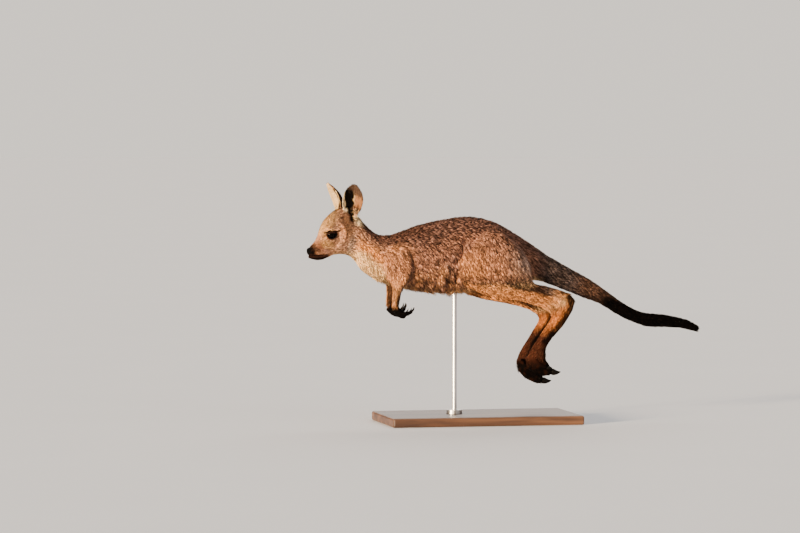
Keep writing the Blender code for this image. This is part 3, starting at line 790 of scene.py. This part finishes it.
def paintLids(head, points, side):
    edge, across, up = eyeOpening(points, side)
    centre, gaze, long, high = eyeAxes(side)
    reach = points - centre
    near = (np.linalg.norm(reach, axis=1) < 34) & (points[:, 1] * side > 0)
    almond = np.hypot(across / 14.5, (up + 0.6) / 9.0)
    head = layTones(
        head, ("facePale", np.exp(-(((edge - 9.0) / 3.0) ** 2)) * near * ramp(6, -4, across) * 0.4),
        ("lid", ramp(1.2, 0.75, almond) * near * 0.92),
        ("black", ramp(1.6, 0.7, edge - 0.9 * ramp(-1, 3, up)) * near))
    fromEye = np.stack([reach @ long, np.zeros(len(points)), reach @ high], 1)
    for start, end, size, strength in markPlan["eyeLines"]:
        stripe = np.clip(stroke(fromEye, start, end, size) * 1.4, 0, 1)
        head = layTones(head, ("muzzle", stripe * near * strength))
    return head


def paintHead(points, normals):
    x, y, z = points.T
    # surfaces that face up and forward: the pale brow and bridge, with a painted highlight
    paleCrownAndHighlight = ramp(0.1, 0.8, normals[:, 2] * 0.6 - normals[:, 0] * 0.6)
    speckle = ramp(0.25, 0.75, waver(points, 5.5, 41) * waver(points, 7, 42))
    flecks = ramp(0.2, 0.7, waver(points, 5, 43) * waver(points, 6.5, 44))
    outer = ramp(0.15, 0.45, np.abs(normals[:, 1]))
    mouth = np.exp(-(((z - mouthLine(x)) / 1.8) ** 2))
    head = layTones(
        plain(points, "face"),
        # pale brow and bridge, with a painted highlight where the head faces up and forward
        ("facePale", paleCrownAndHighlight * ramp(-300, -325, x) * ramp(402, 415, z) * 0.75),
        ("grey", stroke(points, (-281, 412), (-290, 368), 7) * 0.6),
        # painted light behind the cheek, where the head turns away from the light
        ("arm", stroke(points, (-297, 440), (-292, 412), 12) * 0.7),
        ("rust", spot(points, (-304, 444), 4.5) * 0.8),
        ("cream", ramp(378, 362, z) * ramp(-330, -318, x) * 0.9),
        ("back", ramp(-292, -282, x) * ramp(448, 460, z) * 0.8),
        ("rust", speckle * 0.45),
        ("cream", flecks * ramp(-345, -325, x) * 0.5),
        ("temple", stroke(points, (-303, 432), (-301, 400), 7) * 0.7),
        ("temple", stroke(points, (-345, 384), (-328, 388), 13) * outer * 0.6),
        ("snout", spot(points, (-344, 385), 17) * outer),
        ("muzzle", ramp(-346, -360, x + np.abs(z - 374) * 0.6 + 3 * waver(points, 10, 33)) * 0.95),
        ("black", ramp(-357, -366, x + (z - 372) * 0.35 + 2 * waver(points, 9, 31)) * ramp(386, 380, z)),
        ("muzzle", ramp(369, 365, z) * ramp(-324, -334, x)),
        ("black", ramp(363, 359, z) * ramp(-334, -342, x) * 0.8),
        ("black", mouth * ramp(-326, -332, x) * 0.9),
        ("pink", spot(points, (-338, 374), 6) * 0.7))
    for side in (-1, 1):
        head = paintLids(head, points, side)
    earSlitShade = stroke(points, (-285, 440), (-288, 466), 4.6) * ramp(-2, -6, y)  # painted shade where the ear's hollow runs out
    return layTones(
        head, ("earDark", np.clip(earSlitShade * 1.6, 0, 1)),
        ("cream", np.clip(stroke(points, (-276, 444), (-268, 462), 4.0) * 1.3, 0, 1) * 0.9))


def paintEar(points, normals, name):
    root, length, axis, faces, across = earFrame(name)
    reach = points - root
    half = earPlan["width"] / 2
    along, sideways = reach @ axis / length, reach @ across / half
    ear = layTones(plain(points, "face"), ("earBack", ramp(0.12, 0.34, along)))
    hollow = plain(points, "earCream")
    if name == "left":
        ear = layTones(
            ear,
            # the hollow's painted shade carried onto the outer surface of the front wall
            ("earDark", ramp(-0.80, -0.70, sideways) * ramp(0.1, -0.2, sideways) * ramp(0.75, 0.6, along)),
            # the pale front fringe, brightened with painted light
            ("earRim", ramp(-0.66, -0.78, sideways)))
        frayed = sideways + 0.06 * waver(points, 9, 21)
        high = along + 0.06 * waver(points, 8, 22)
        inDepth = frayed - 0.26 * (reach @ faces) / half  # the painted shade keeps to the bottom of the hollow
        front, rear = alongLine(along, markPlan["blackFront"]), alongLine(along, markPlan["blackRear"])
        hollowShade = ramp(-0.06, 0.06, inDepth - front) * ramp(0.07, -0.07, inDepth - rear)
        brim = np.hypot(sideways * 0.9, np.clip(along - 0.5, 0, 1) * 1.9)
        hollow = layTones(
            hollow,
            # the pale front fringe, brightened with painted light
            ("earRim", ramp(-0.2, -0.4, frayed)),
            ("earTan", ramp(-0.1, 0.15, frayed) * ramp(0.12, 0.28, high)),
            ("earBack", np.exp(-((frayed - 0.48) / 0.12) ** 2) * ramp(0.5, 0.36, high) * 0.8),
            # the top of the hollow: its grey-brown fur, darkened with painted shade
            ("earCap", ramp(0.60, 0.80, high + 0.1 * frayed)),
            # painted shade deep in the hollow
            ("earDark", hollowShade * ramp(0.84, 0.68, high + 0.2 * frayed)),
            ("earBack", ramp(0.92, 0.98, brim) * ramp(0.5, 0.65, along) * 0.8))
    else:
        middle = np.stack([along, sideways, 0 * along], 1)
        band = alongLine(along, markPlan["earBand"]) + 0.06 * waver(points, 9, 23)
        hollow = layTones(
            hollow,
            ("pink", bump(middle, (0.5, 0.0, 0), 0.3) * 0.25),
            ("earTan", ramp(0.2, 0.4, sideways) * ramp(0.92, 0.8, sideways)),
            # painted shade in the hollow
            ("earDark", ramp(-0.06, 0.06, sideways - band) * ramp(0.36, 0.2, sideways)))
    return blendTo(ear, hollow, ramp(-0.15, 0.15, normals @ faces))


def paint(points, normals, masks):
    x, y, z = points.T
    v = heightShare(x, z) + 0.05 * waver(points, 45, 5)
    colour = blendTo(paintTrunk(points, v), paintTail(points, v), masks["tail"])
    colour = blendTo(colour, paintThigh(points), masks["thigh"])
    colour = blendTo(colour, paintShank(points, normals), masks["shank"])
    colour = blendTo(colour, paintFoot(points, normals), masks["foot"])
    colour = paintHeels(colour, points, masks)
    colour = blendTo(colour, paintArm(points, normals), masks["arm"])
    colour = blendTo(colour, paintHead(points, normals), masks["head"])
    for name, here in (("left", y < -2), ("right", y > 2)):
        colour = blendTo(colour, paintEar(points, normals, name), masks["ear"] * here)
    return np.clip(colour, 0.0008, 1)


print("markings")
points = readPoints(skin.data) * 1000
normals = readNormals(skin.data)
edges = readEdges(skin.data)
part = partsOf(points * mm)
maskPlan = {  # how softly each marking ends, and the parts that it covers
    "tail": (14, "tail_base", "tail_middle", "tail_end"), "thigh": (10, "thigh"), "shank": (30, "shank"),
    "foot": (5, "foot", "toe_main", "toe_side", "toe_inner"), "arm": (8, "upper_arm", "forearm", "hand"),
    "head": (6, "head", "lower_jaw"), "ear": (2, "ear"),
}
masks = {}
for name, (rounds, *members) in maskPlan.items():
    masks[name] = spread(among(part, *members).astype(float), edges, rounds)
masks["head"] = np.maximum(masks["head"], ramp(-276, -286, points[:, 0]))
masks["tail"] = np.clip(masks["tail"], 0, 1) * ramp(85, 150, points[:, 0])
skinColour = paint(points, normals, masks)
putColour(skin.data, skinColour * (0.5, 0.42, 0.34))  # the skin shows as the shade between the hairs

# the coat

nosePlan = {"centre": (-368.2, 0.0, 372.4), "radii": (7.0, 10.6, 9.3), "tilt": -20.0, "bare": (9.5, 12, 10.5)}
bare = np.linalg.norm((points - np.array(nosePlan["centre"])) / nosePlan["bare"], axis=1) < 1
for side in (-1, 1):
    nearEye = (np.linalg.norm(points - eyeCentre(side), axis=1) < 22) & (points[:, 1] * side > 0)
    bare |= nearEye & (eyeOpening(points, side)[0] < 1.5)
hairLength = spread(partValues[part, 2], edges, 40)
hairHeight = spread(partValues[part, 3], edges, 40)
hairWidth = spread(partValues[part, 4], edges, 30)
hairDensity = partValues[part, 5] * ~bare
flowPlan = np.array([row[6] for row in partPlan.values()], float)
flow = flowPlan[part]
for name, ownSide in (("left", points[:, 1] < 0), ("right", points[:, 1] >= 0)):
    flow[among(part, "ear") & ownSide] = earFrame(name)[2]
flow = blendTo(flow, (0.62, 0, -0.78), among(part, "upper_arm") * ramp(305, 350, points[:, 2]))
downShare = ramp(0.85, 0.45, heightShare(points[:, 0], points[:, 2]))
downShare *= among(part, "chest", "abdomen", "rump") * np.where(among(part, "rump"), 0.5, 1.0)
flow = blendTo(flow, (0.30, 0, -0.95), downShare)
flow = unit(spread(unit(flow), edges, 25))
onFace = ramp(-300, -350, points[:, 0]) * masks["head"]
under = spread(ramp(-0.15, -0.75, normals[:, 2]) * among(part, "chest", "abdomen"), edges, 6)
hairLength = (hairLength * (1 - 0.45 * onFace) + 8 * under) * np.where(points[:, 0] > 455, 0.75, 1.0)
hairHeight = hairHeight * (1 - 0.45 * onFace) + 5.5 * under

corners = readTriangles(skin.data)
trianglePoints = points[corners]
triangleArea = areasOf(trianglePoints)
trianglePart = part[corners[:, 0]]
trunkParts = [partNames.index(name) for name in skinPlan["flesh"]]


def chartPlace(roots, rootNormals, rootParts):  # where each root lies on a rolled-out tube of its body part
    place = np.zeros((len(roots), 2))
    kinds = np.unique(rootParts)
    for slot, kind in enumerate(kinds):
        for right in (False, True):
            chosen = (rootParts == kind) & ((roots[:, 1] > 0) == right)
            if not chosen.any():
                continue
            direction = unit(flowPlan[kind][None])[0]
            p = roots[chosen]
            along = p @ direction
            # the middle of the limb at each distance along it
            steps = np.linspace(along.min(), along.max() + 1e-6, 9)
            bins = np.clip(np.digitize(along, steps) - 1, 0, 7)
            centres = np.array([p[bins == b].mean(0) if (bins == b).any() else p.mean(0) for b in range(8)])
            halfway = (steps[:-1] + steps[1:]) / 2
            middleLine = np.stack([np.interp(along, halfway, centres[:, k]) for k in range(3)], 1)
            if kind in trunkParts:
                middleLine[:, 1] = 0
            out = p - middleLine
            up = out @ np.cross(direction, (0, 1, 0))
            if kind in trunkParts:
                angle = np.abs(np.arctan2(np.abs(out[:, 1]), up)) / math.pi
            else:
                angle = np.arctan2(out[:, 1], up) / (2 * math.pi) + 0.5
            if kind == partNames.index("ear"):
                faces = earFrame("right" if right else "left")[3]
                angle = angle * 0.5 + 0.5 * (rootNormals[chosen] @ faces > 0)
            share = (along - along.min()) / max(float(np.ptp(along)), 1e-6)
            place[chosen, 0] = (slot * 2 + right + 0.03 + 0.94 * angle) / (2 * len(kinds))
            place[chosen, 1] = 0.01 + 0.98 * share
    return place


tuftPlan = {
    "rings": ((0.0, 0.0, 1.0), (0.48, 0.72, 0.85)),  # shares of the length, the rise and the width
    "length": (0.65, 1.25), "height": (0.45, 1.25), "width": (0.75, 1.25), "wider": 1.12, "stray": 0.16,
    "sideways": 0.10, "sunk": 0.4, "warmRoot": (1.0, 0.84, 0.68), "patch": (0.0015, 0.003),
}


def tuftColours(rng, colour, lockShade, segments, paleShare, contrast):  # dark roots, their darker underfur with warm painted shade, and some pale tips
    count = len(colour)
    brightest = colour.max(1)
    shade = rng.normal(size=count) * 0.28 * contrast
    shade = np.clip((1.0 + shade) * lockShade, 0.30, 2.0)
    calm = 1 - (segments - 1) * 0.6 * np.clip((brightest - 0.6) / 0.4, 0, 1)  # long pale fur varies less
    shade = 1 + (shade - 1) * calm
    pale = (rng.random(count) < paleShare)[:, None]
    paleTips = np.clip(brightest / 0.1, 0, 1)[:, None]  # no pale tips in black fur
    # the roots: darker underfur, with warm painted shade between the hairs
    root = colour * (0.26 + 0.30 * brightest**2)[:, None] * np.array(tuftPlan["warmRoot"])
    middle = colour * shade[:, None] * 0.92
    tip = np.where(pale, middle * 1.6 + 0.07 * paleTips * np.array(tones["cream"]), middle * 1.05)
    if segments == 1:
        root = middle * 0.62
    layers = np.stack([root] * 3 + [middle] * (3 * (segments - 1)) + [tip], 1).reshape(-1, 3)
    layers /= np.maximum(layers.max(1, keepdims=True) / 0.95, 1)
    return np.maximum(layers, 0.0006)


def growCoat(name, chosen, count, seed, segments=2, lengthScale=1.0, heightScale=1.0, widthScale=1.0,
             droop=None, lockSize=6, lockPull=0.5, paleShare=0.3, contrast=1.15):
    rng = np.random.default_rng(seed)
    weight = triangleArea * hairDensity[corners].mean(1) * chosen
    total = np.cumsum(weight)
    picked = np.searchsorted(total, (np.arange(count) + rng.random(count)) / count * total[-1])
    c = corners[np.minimum(picked, len(corners) - 1)]
    a, b = pointsBetween(rng, count)
    mix = np.stack([1 - a - b, a, b], 1)

    def at(values):
        if values.ndim == 1:
            return (values[c] * mix).sum(1)
        return (values[c] * mix[:, :, None]).sum(1)

    root, normal, ahead = at(points), unit(at(normals)), at(flow)
    if droop is not None:
        ahead = ahead + np.array(droop)
    ahead = ahead + tuftPlan["stray"] * rng.normal(size=(count, 3))
    ahead = unit(ahead - normal * (ahead * normal).sum(1)[:, None])
    across = np.cross(normal, ahead)
    length = at(hairLength) * lengthScale * rng.uniform(*tuftPlan["length"], count)
    height = at(hairHeight) * heightScale * rng.uniform(*tuftPlan["height"], count)
    width = at(hairWidth) * widthScale * tuftPlan["wider"] * rng.uniform(*tuftPlan["width"], count)
    if droop is not None:
        normal = unit(normal + np.array(droop) * 0.4)
    root = root - normal * tuftPlan["sunk"]
    # hairs lean together into locks, each lock a little lighter or darker than the next
    tip = root + ahead * length[:, None] + normal * height[:, None]
    tip += across * (rng.normal(size=count) * tuftPlan["sideways"] * length)[:, None]
    leaders = rng.permutation(count)[:max(count // lockSize, 1)]
    course = unit(ahead.mean(0)[None])[0]
    streaked = root - course * (root @ course)[:, None] * 0.6  # a lock is longer than it is wide
    leader = leaders[nearestOf(makeTree(streaked[leaders]), streaked)]
    away = np.linalg.norm(streaked - streaked[leader], axis=1)
    pull = lockPull * (away < 2.2 * np.median(away) + 0.01)
    leanTip = tip[leader] - tip
    leanTip -= course * (leanTip @ course * 0.5)[:, None]
    tip += leanTip * pull[:, None]
    lockShade = np.clip(1 + 0.45 * contrast * rng.normal(size=count), 0.30, 2.2)[leader]
    lockShade *= np.clip(1.15 - 0.25 * contrast * away / max(np.median(away), 0.01), 0.5, 1.15)
    vertices = []
    for share, rise, wide in tuftPlan["rings"][:segments]:
        centre = root + (tip - root) * share + normal * (height * (rise - share))[:, None]
        for aside, up in ((-1.0, 0.0), (1.0, 0.0), (0.0, 0.75)):
            out = across * (width * wide * aside)[:, None] + normal * (width * wide * up)[:, None]
            vertices.append(centre + out)
    vertices = np.stack(vertices + [tip], 1)
    faces = [(0, 2, 1)]
    for k in range(0, (segments - 1) * 3, 3):
        faces += [(k, k + 1, k + 4, k + 3), (k + 1, k + 2, k + 5, k + 4), (k + 2, k, k + 3, k + 5)]
    k, last = (segments - 1) * 3, segments * 3
    faces += [(k, k + 1, last), (k + 1, k + 2, last), (k + 2, k, last)]
    tuftCorners, loops, starts = repeatFaces(faces, count, last + 1)
    coat = meshFromArrays(name, vertices.reshape(-1, 3) * mm, loops, starts, coatFinish)
    putColour(coat.data, tuftColours(rng, at(skinColour), lockShade, segments, paleShare, contrast))
    # each tuft has its own small patch at the place of its root
    place = chartPlace(root, normal, part[c[:, 0]])
    middleRing = [(-0.8, 0.5), (0.8, 0.5), (0, 0.6)] * (segments - 1)
    local = np.array([(-1, 0), (1, 0), (0, 0.1)] + middleRing + [(0, 1)])
    local = (local - (0, 0.5)) * tuftPlan["patch"]
    putBakeMap(coat.data, place[:, None, :] + local[None, tuftCorners, :])
    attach(coat, "root")
    print("coat:", name, count, "tufts")


def isPart(*names):
    return among(trianglePart, *names)


leftSide = trianglePoints[:, :, 1].mean(1) < 0
middleX, middleZ = trianglePoints[:, :, 0].mean(1), trianglePoints[:, :, 2].mean(1)
faceDown = normals[corners].mean(1)[:, 2]
bellyFringe = isPart("chest", "abdomen") & (middleX > -205) & (heightShare(middleX, middleZ) < 0.33)
toeFringe = isPart("foot", "toe_main") & (middleZ < 165) & (faceDown < 0.1)
growCoat("coatHead", isPart("head", "lower_jaw"), 34000, 11, segments=1, widthScale=1.25, lockSize=4,
         lockPull=0.3, contrast=1.5)
growCoat("coatEars", isPart("ear"), 14000, 12, segments=1)
growCoat("coatNeck", isPart("neck"), 8500, 13)
for name, here, seed in (("Left", leftSide, 14), ("Right", ~leftSide, 15)):
    growCoat("coatChest" + name, isPart("chest") & here, 8200, seed, lockSize=8, lockPull=0.6)
for name, here, seed in (("Left", leftSide, 16), ("Right", ~leftSide, 17)):
    growCoat("coatFlank" + name, isPart("abdomen") & here, 9600, seed, lockSize=9, lockPull=0.6)
growCoat("coatBelly", bellyFringe, 7500, 31, lengthScale=1.25, heightScale=1.05, lockSize=26, lockPull=0.75,
         paleShare=0.45, contrast=1.7, droop=(0.1, 0, -0.7))
growCoat("coatRump", isPart("rump"), 12300, 18)
for name, here, seed in (("Left", leftSide, 19), ("Right", ~leftSide, 20)):
    growCoat("coatThigh" + name, isPart("thigh") & here, 7400, seed)
growCoat("coatShanks", isPart("shank"), 13500, 21)
growCoat("coatTailBase", isPart("tail_base"), 7000, 22)
growCoat("coatTail", isPart("tail_middle", "tail_end"), 11000, 23)
growCoat("coatFeet", isPart("foot", "toe_main", "toe_side", "toe_inner"), 20000, 24, segments=1)
growCoat("coatArms", isPart("upper_arm"), 6500, 25)
growCoat("coatForearms", isPart("forearm", "hand"), 11000, 26, segments=1)
growCoat("coatEarFringe", isPart("ear") & (middleZ < 462), 700, 27, lengthScale=1.9, heightScale=3.0,
         lockSize=12, lockPull=0.6, contrast=0.8, droop=(-0.1, 0, 0.2))
growCoat("coatToeFringe", toeFringe, 1100, 28, lengthScale=2.0, heightScale=2.6, lockSize=12, lockPull=0.8,
         contrast=0.6, droop=(0.3, 0, -0.5))
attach(skin, "root")
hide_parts(*fleshNodes, "ear_left", "ear_right")

# whiskers and lashes

whiskerPlan = {"rows": 4, "perRow": 5, "from": (-361, 14, 370), "step": (4.2, 1.4, 0.2),
               "rowStep": (1.0, 0.6, 3.2), "lie": (0.55, 0, -0.15), "length": 26, "bend": (0.15, 0, -0.12)}
lashPlan = {"perEye": 20, "length": 5.5, "bend": (0, 0, -0.35)}
hairPlan = {"rings": 6, "around": 3, "radius": 0.16, "spread": (0.6, 1.1)}


def makeHairs(name, roots, tips, bend, tone):  # round tapering hairs, each bent towards a side
    rings, around = hairPlan["rings"], hairPlan["around"]
    roots, tips = np.array(roots), np.array(tips)
    count = len(roots)
    course = unit(tips - roots)
    sideA = unit(np.cross(course, (0.31, 0.17, 0.94)))
    sideB = np.cross(course, sideA)
    length = np.linalg.norm(tips - roots, axis=1)
    layers = []
    for share in np.linspace(0, 1, rings):
        centre = roots + (tips - roots) * share + np.array(bend) * (length * share * share)[:, None]
        for turn in np.arange(around) * 2 * math.pi / around:
            offset = sideA * math.cos(turn) + sideB * math.sin(turn)
            layers.append(centre + offset * hairPlan["radius"] * (1 - 0.85 * share))
    faces = [list(range(around))[::-1], [(rings - 1) * around + k for k in range(around)]]
    for first in range(0, (rings - 1) * around, around):
        for k in range(around):
            a, b = first + k, first + (k + 1) % around
            faces.append([a, b, b + around, a + around])
    hairCorners, loops, starts = repeatFaces(faces, count, rings * around)
    vertices = np.stack(layers, 1).reshape(-1, 3)
    hairs = meshFromArrays(name, vertices * mm, loops, starts, coatFinish)
    putColour(hairs.data, plain(vertices, tone))
    place = np.stack([(np.arange(count) + 0.5) / count, np.full(count, 0.5)], 1)
    upward = np.repeat(np.linspace(0, 0.003, rings), around)
    local = np.stack([np.tile(np.arange(around), rings) * 0.001, upward], 1)
    putBakeMap(hairs.data, place[:, None, :] + local[None, hairCorners, :])
    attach(hairs, "root")


skinTree = makeTree(points)
rng = np.random.default_rng(61)
start, step, rowStep = (np.array(whiskerPlan[name]) for name in ("from", "step", "rowStep"))
roots, tips = [], []
for side in (-1, 1):
    for number in range(whiskerPlan["rows"] * whiskerPlan["perRow"]):
        row, k = divmod(number, whiskerPlan["perRow"])
        nearest = skinTree.find((start + step * k + rowStep * row) * (1, side, 1))[1]
        outwards = normals[nearest] + np.array(whiskerPlan["lie"]) + 0.12 * rng.normal(size=3)
        outwards = unit(outwards[None])[0]
        roots.append(points[nearest] - normals[nearest] * 0.5)
        tips.append(points[nearest] + outwards * whiskerPlan["length"] * rng.uniform(*hairPlan["spread"]))
makeHairs("whiskers", roots, tips, whiskerPlan["bend"], "muzzle")
roots, tips = [], []
for side in (-1, 1):
    centre, gaze, long, high = eyeAxes(side)
    for share in np.linspace(-0.9, 0.95, lashPlan["perEye"]):
        up = eyePlan["halfUp"] * math.sqrt(max(1 - share * share, 0)) + 0.9
        turned = unit((gaze * eyePlan["radius"] + long * (share * eyePlan["halfLong"]) + high * up)[None])[0]
        root = centre + turned * (eyePlan["radius"] + 1.2)
        outwards = unit((turned + high * 0.1 + long * 0.5 * share + 0.1 * rng.normal(size=3))[None])[0]
        roots.append(root - outwards)
        tips.append(root + outwards * lashPlan["length"] * rng.uniform(*hairPlan["spread"]))
makeHairs("lashes", roots, tips, lashPlan["bend"], "black")

# eyes, nose and claws

ballSurface = {
    "surface": {"Roughness": 0.12, "Specular IOR Level": 0.0, "Coat Weight": 0.06, "Coat Roughness": 0.03},
    "colour": (0.0012, 0.0008, 0.0006), "mottle": (220.0, 1500.0, 0.5),
}
leatherSurface = {
    "surface": {"Roughness": 0.55, "Specular IOR Level": 0.03},
    "colour": (0.0012, 0.0009, 0.0009), "mottle": (150.0, 1300.0, 0.5), "grain": 950.0,
}
hornSurface = {
    "surface": {"Roughness": 0.45, "Specular IOR Level": 0.06},
    "colour": (0.0035, 0.0026, 0.0022), "mottle": (180.0, 900.0, 0.6), "relief": (0.3, 0.0003),
}
clawRadius = {"main": 7.2, "side": 3.2, "inner": 1.6, "hand": 1.8}  # at the root


def shapedSphere(name, centre, radii, segments, rings, tilt=0.0):
    bpy.ops.mesh.primitive_uv_sphere_add(segments=segments, ring_count=rings, radius=1.0)
    piece = bpy.context.active_object
    piece.name = piece.data.name = name
    x, y, z = (readPoints(piece.data) * np.array(radii)).T
    c, s = math.cos(math.radians(tilt)), math.sin(math.radians(tilt))
    place = np.stack([c * x + s * z, y, -s * x + c * z], 1)
    writePoints(piece.data, (place + np.array(centre)) * mm)
    bpy.ops.object.shade_smooth()
    return piece


eyeFinish = makeFinish("eyeGloss", ballSurface)[0]
for name, side in (("left", -1), ("right", 1)):
    ball = shapedSphere("eyeball_" + name, eyeCentre(side), (eyePlan["radius"] + 0.1,) * 3, 40, 28)
    ball.data.materials.append(eyeFinish)
    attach(ball, "root")
    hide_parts("eye_" + name)

noseFinish, nodes, links, shader = makeFinish("noseLeather", leatherSurface)
grain, noseCoord = nodes.new("ShaderNodeTexVoronoi"), nodes.new("ShaderNodeTexCoord")
setInputs(grain, {"Scale": leatherSurface["grain"]})
links.new(noseCoord.outputs["Object"], grain.inputs["Vector"])
addBump(nodes, links, grain.outputs["Distance"], shader, 0.35, 0.0004)
nose = shapedSphere("nosePad", nosePlan["centre"], nosePlan["radii"], 48, 32, nosePlan["tilt"])
place, facing = readPoints(nose.data) * 1000, readNormals(nose.data)
depth = np.zeros(len(place))
for side in (-1, 1):  # the nostrils and the groove below them
    depth += 3.2 * lineBump(place, (-375, side * 4.2, 373), (-371, side * 8.6, 375), 1.7)
depth += 0.9 * lineBump(place, (-376, 0, 372), (-372, 0, 366), 0.9)
writePoints(nose.data, (place - facing * depth[:, None]) * mm)
nose.data.materials.append(noseFinish)
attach(nose, "root")
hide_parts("nose")


def roundedClaw(node):
    claw = copyNode(node)
    rounded = claw.modifiers.new("rounded", "SUBSURF")
    rounded.levels = rounded.render_levels = 2
    applyAll(claw)
    place = readPoints(claw.data) * 1000
    root = np.array(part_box({"main": "toe_main_", "side": "toe_side_", "inner": "toe_inner_", "hand": "hand_"}[
        node.split("_")[1]] + ("left" if "left" in node else "right"))).mean(0) * 1000
    away = np.linalg.norm(place - root, axis=1)
    share = (away.max() - away) / max(float(np.ptp(away)), 1e-6)
    grow = 0.25 * clawRadius[node.split("_")[1]] * np.clip(share * 1.3, 0, 1)
    writePoints(claw.data, (place + readNormals(claw.data) * grow[:, None]) * mm)
    return claw


clawFinish = makeFinish("clawHorn", hornSurface)[0]
clawNodes = [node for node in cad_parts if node.startswith("claw_")]
for label, onHand in (("clawsFeet", False), ("clawsHands", True)):
    members = [node for node in clawNodes if ("hand" in node) == onHand]
    claws = joinPieces([roundedClaw(node) for node in members], label)
    bpy.ops.object.shade_smooth()
    claws.data.materials.append(clawFinish)
    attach(claws, "root")
    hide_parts(*members)

# the stand

steelSurface = {
    "surface": {"Roughness": 0.3, "Specular IOR Level": 0.5, "Metallic": 1.0},
    "colour": (0.55, 0.54, 0.52), "mottle": (30.0, 700.0, 0.2), "relief": (0.15, 0.0003),
}
woodSurface = {
    "surface": {"Roughness": 0.42, "Specular IOR Level": 0.4},
    "dark": (0.030, 0.014, 0.008, 1), "pale": (0.135, 0.062, 0.030, 1), "grain": (3.0, 42.0, 30.0),
    "rings": {"Scale": 1.6, "Detail": 6.0, "Distortion": 0.8}, "relief": (0.15, 0.0006),
}


def setStops(colourRamp, *stops):
    for element, (colour, position) in zip(colourRamp.elements, stops):
        element.color, element.position = colour, position


woodFinish, nodes, links, shader = newFinish("standWood", woodSurface["surface"])
coord, stretch = nodes.new("ShaderNodeTexCoord"), nodes.new("ShaderNodeMapping")
rings, stain = nodes.new("ShaderNodeTexNoise"), nodes.new("ShaderNodeValToRGB")
setInputs(stretch, {"Scale": woodSurface["grain"]})
setInputs(rings, woodSurface["rings"])
setStops(stain.color_ramp, (woodSurface["dark"], 0.35), (woodSurface["pale"], 0.68))
links.new(coord.outputs["Object"], stretch.inputs["Vector"])
links.new(stretch.outputs["Vector"], rings.inputs["Vector"])
links.new(rings.outputs["Fac"], stain.inputs["Fac"])
links.new(stain.outputs["Color"], shader.inputs["Base Color"])
addBump(nodes, links, rings.outputs["Fac"], shader, *woodSurface["relief"])
steelFinish = makeFinish("standSteel", steelSurface)[0]
for node, finish in (("stand_base", woodFinish), ("stand_rod", steelFinish), ("stand_collar", steelFinish)):
    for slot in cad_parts[node].material_slots:
        slot.material = finish

# floor, light and camera

floorSurface = {
    "surface": {"Roughness": 0.9, "Specular IOR Level": 0.0},
    "colour": (0.834, 0.858, 0.886), "mottle": (3.0, 60.0, 0.03),
}
studioPlan = {  # the light of the room from below and from above, and the backdrop that is seen
    "low": (0.17, 0.17, 0.18, 1), "high": (0.36, 0.36, 0.39, 1), "wall": (1.128, 1.035, 0.93, 1),
}
sunPlan = {  # where it comes from, strength, angle, colour
    "key": ((-0.80, -0.58, 0.10), 17.0, 8.0, (1.0, 0.77, 0.52)),
    "fill": ((0.60, -0.70, 0.35), 0.7, 60.0, (1.0, 0.93, 0.86)),
    "back": ((0.20, 0.75, 0.60), 2.2, 50.0, (1.0, 0.92, 0.84)),
}
cameraPlan = {"azimuth": -12.0, "elevation": 2.5, "lens": 200.0, "distance": 9.56, "aim": (-0.171, 0, 0.339)}

bpy.ops.mesh.primitive_circle_add(vertices=96, radius=30.0, fill_type="NGON", location=(0, 0, 0))
floor = bpy.context.active_object
floor.name = "floor"
floor.data.materials.append(makeFinish("paleFloor", floorSurface)[0])

world = bpy.data.worlds.new("studio")
bpy.context.scene.world = world
world.use_nodes = True
nodes, links = world.node_tree.nodes, world.node_tree.links
direction, split, dome, wall, chooser, rayKind = (nodes.new("ShaderNode" + kind) for kind in (
    "TexCoord", "SeparateXYZ", "ValToRGB", "Background", "MixShader", "LightPath"))
setStops(dome.color_ramp, (studioPlan["low"], 0.0), (studioPlan["high"], 0.9))
setInputs(wall, {"Color": studioPlan["wall"]})
links.new(direction.outputs["Generated"], split.inputs[0])
links.new(split.outputs["Z"], dome.inputs["Fac"])
links.new(dome.outputs["Color"], nodes["Background"].inputs["Color"])
# the backdrop that is seen is as pale as the far floor, while the light it gives stays low
links.new(rayKind.outputs["Is Camera Ray"], chooser.inputs[0])
links.new(nodes["Background"].outputs[0], chooser.inputs[1])
links.new(wall.outputs[0], chooser.inputs[2])
links.new(chooser.outputs[0], nodes["World Output"].inputs["Surface"])

for name, (toward, strength, angle, colour) in sunPlan.items():
    sun = bpy.data.lights.new(name, "SUN")
    sun.energy, sun.angle, sun.color = strength, math.radians(angle), colour
    light = bpy.data.objects.new(name, sun)
    bpy.context.collection.objects.link(light)
    light.rotation_euler = Vector(toward).to_track_quat("Z", "Y").to_euler()

a, e = math.radians(cameraPlan["azimuth"]), math.radians(cameraPlan["elevation"])
back = Vector((math.sin(a) * math.cos(e), -math.cos(a) * math.cos(e), math.sin(e)))
cameraData = bpy.data.cameras.new("camera")
cameraData.lens, cameraData.sensor_width, cameraData.clip_end = cameraPlan["lens"], 36.0, 200.0
camera = bpy.data.objects.new("camera", cameraData)
bpy.context.collection.objects.link(camera)
camera.location = Vector(cameraPlan["aim"]) + back * cameraPlan["distance"]
camera.rotation_euler = (-back).to_track_quat("-Z", "Y").to_euler()
bpy.context.scene.camera = camera

print("finished")
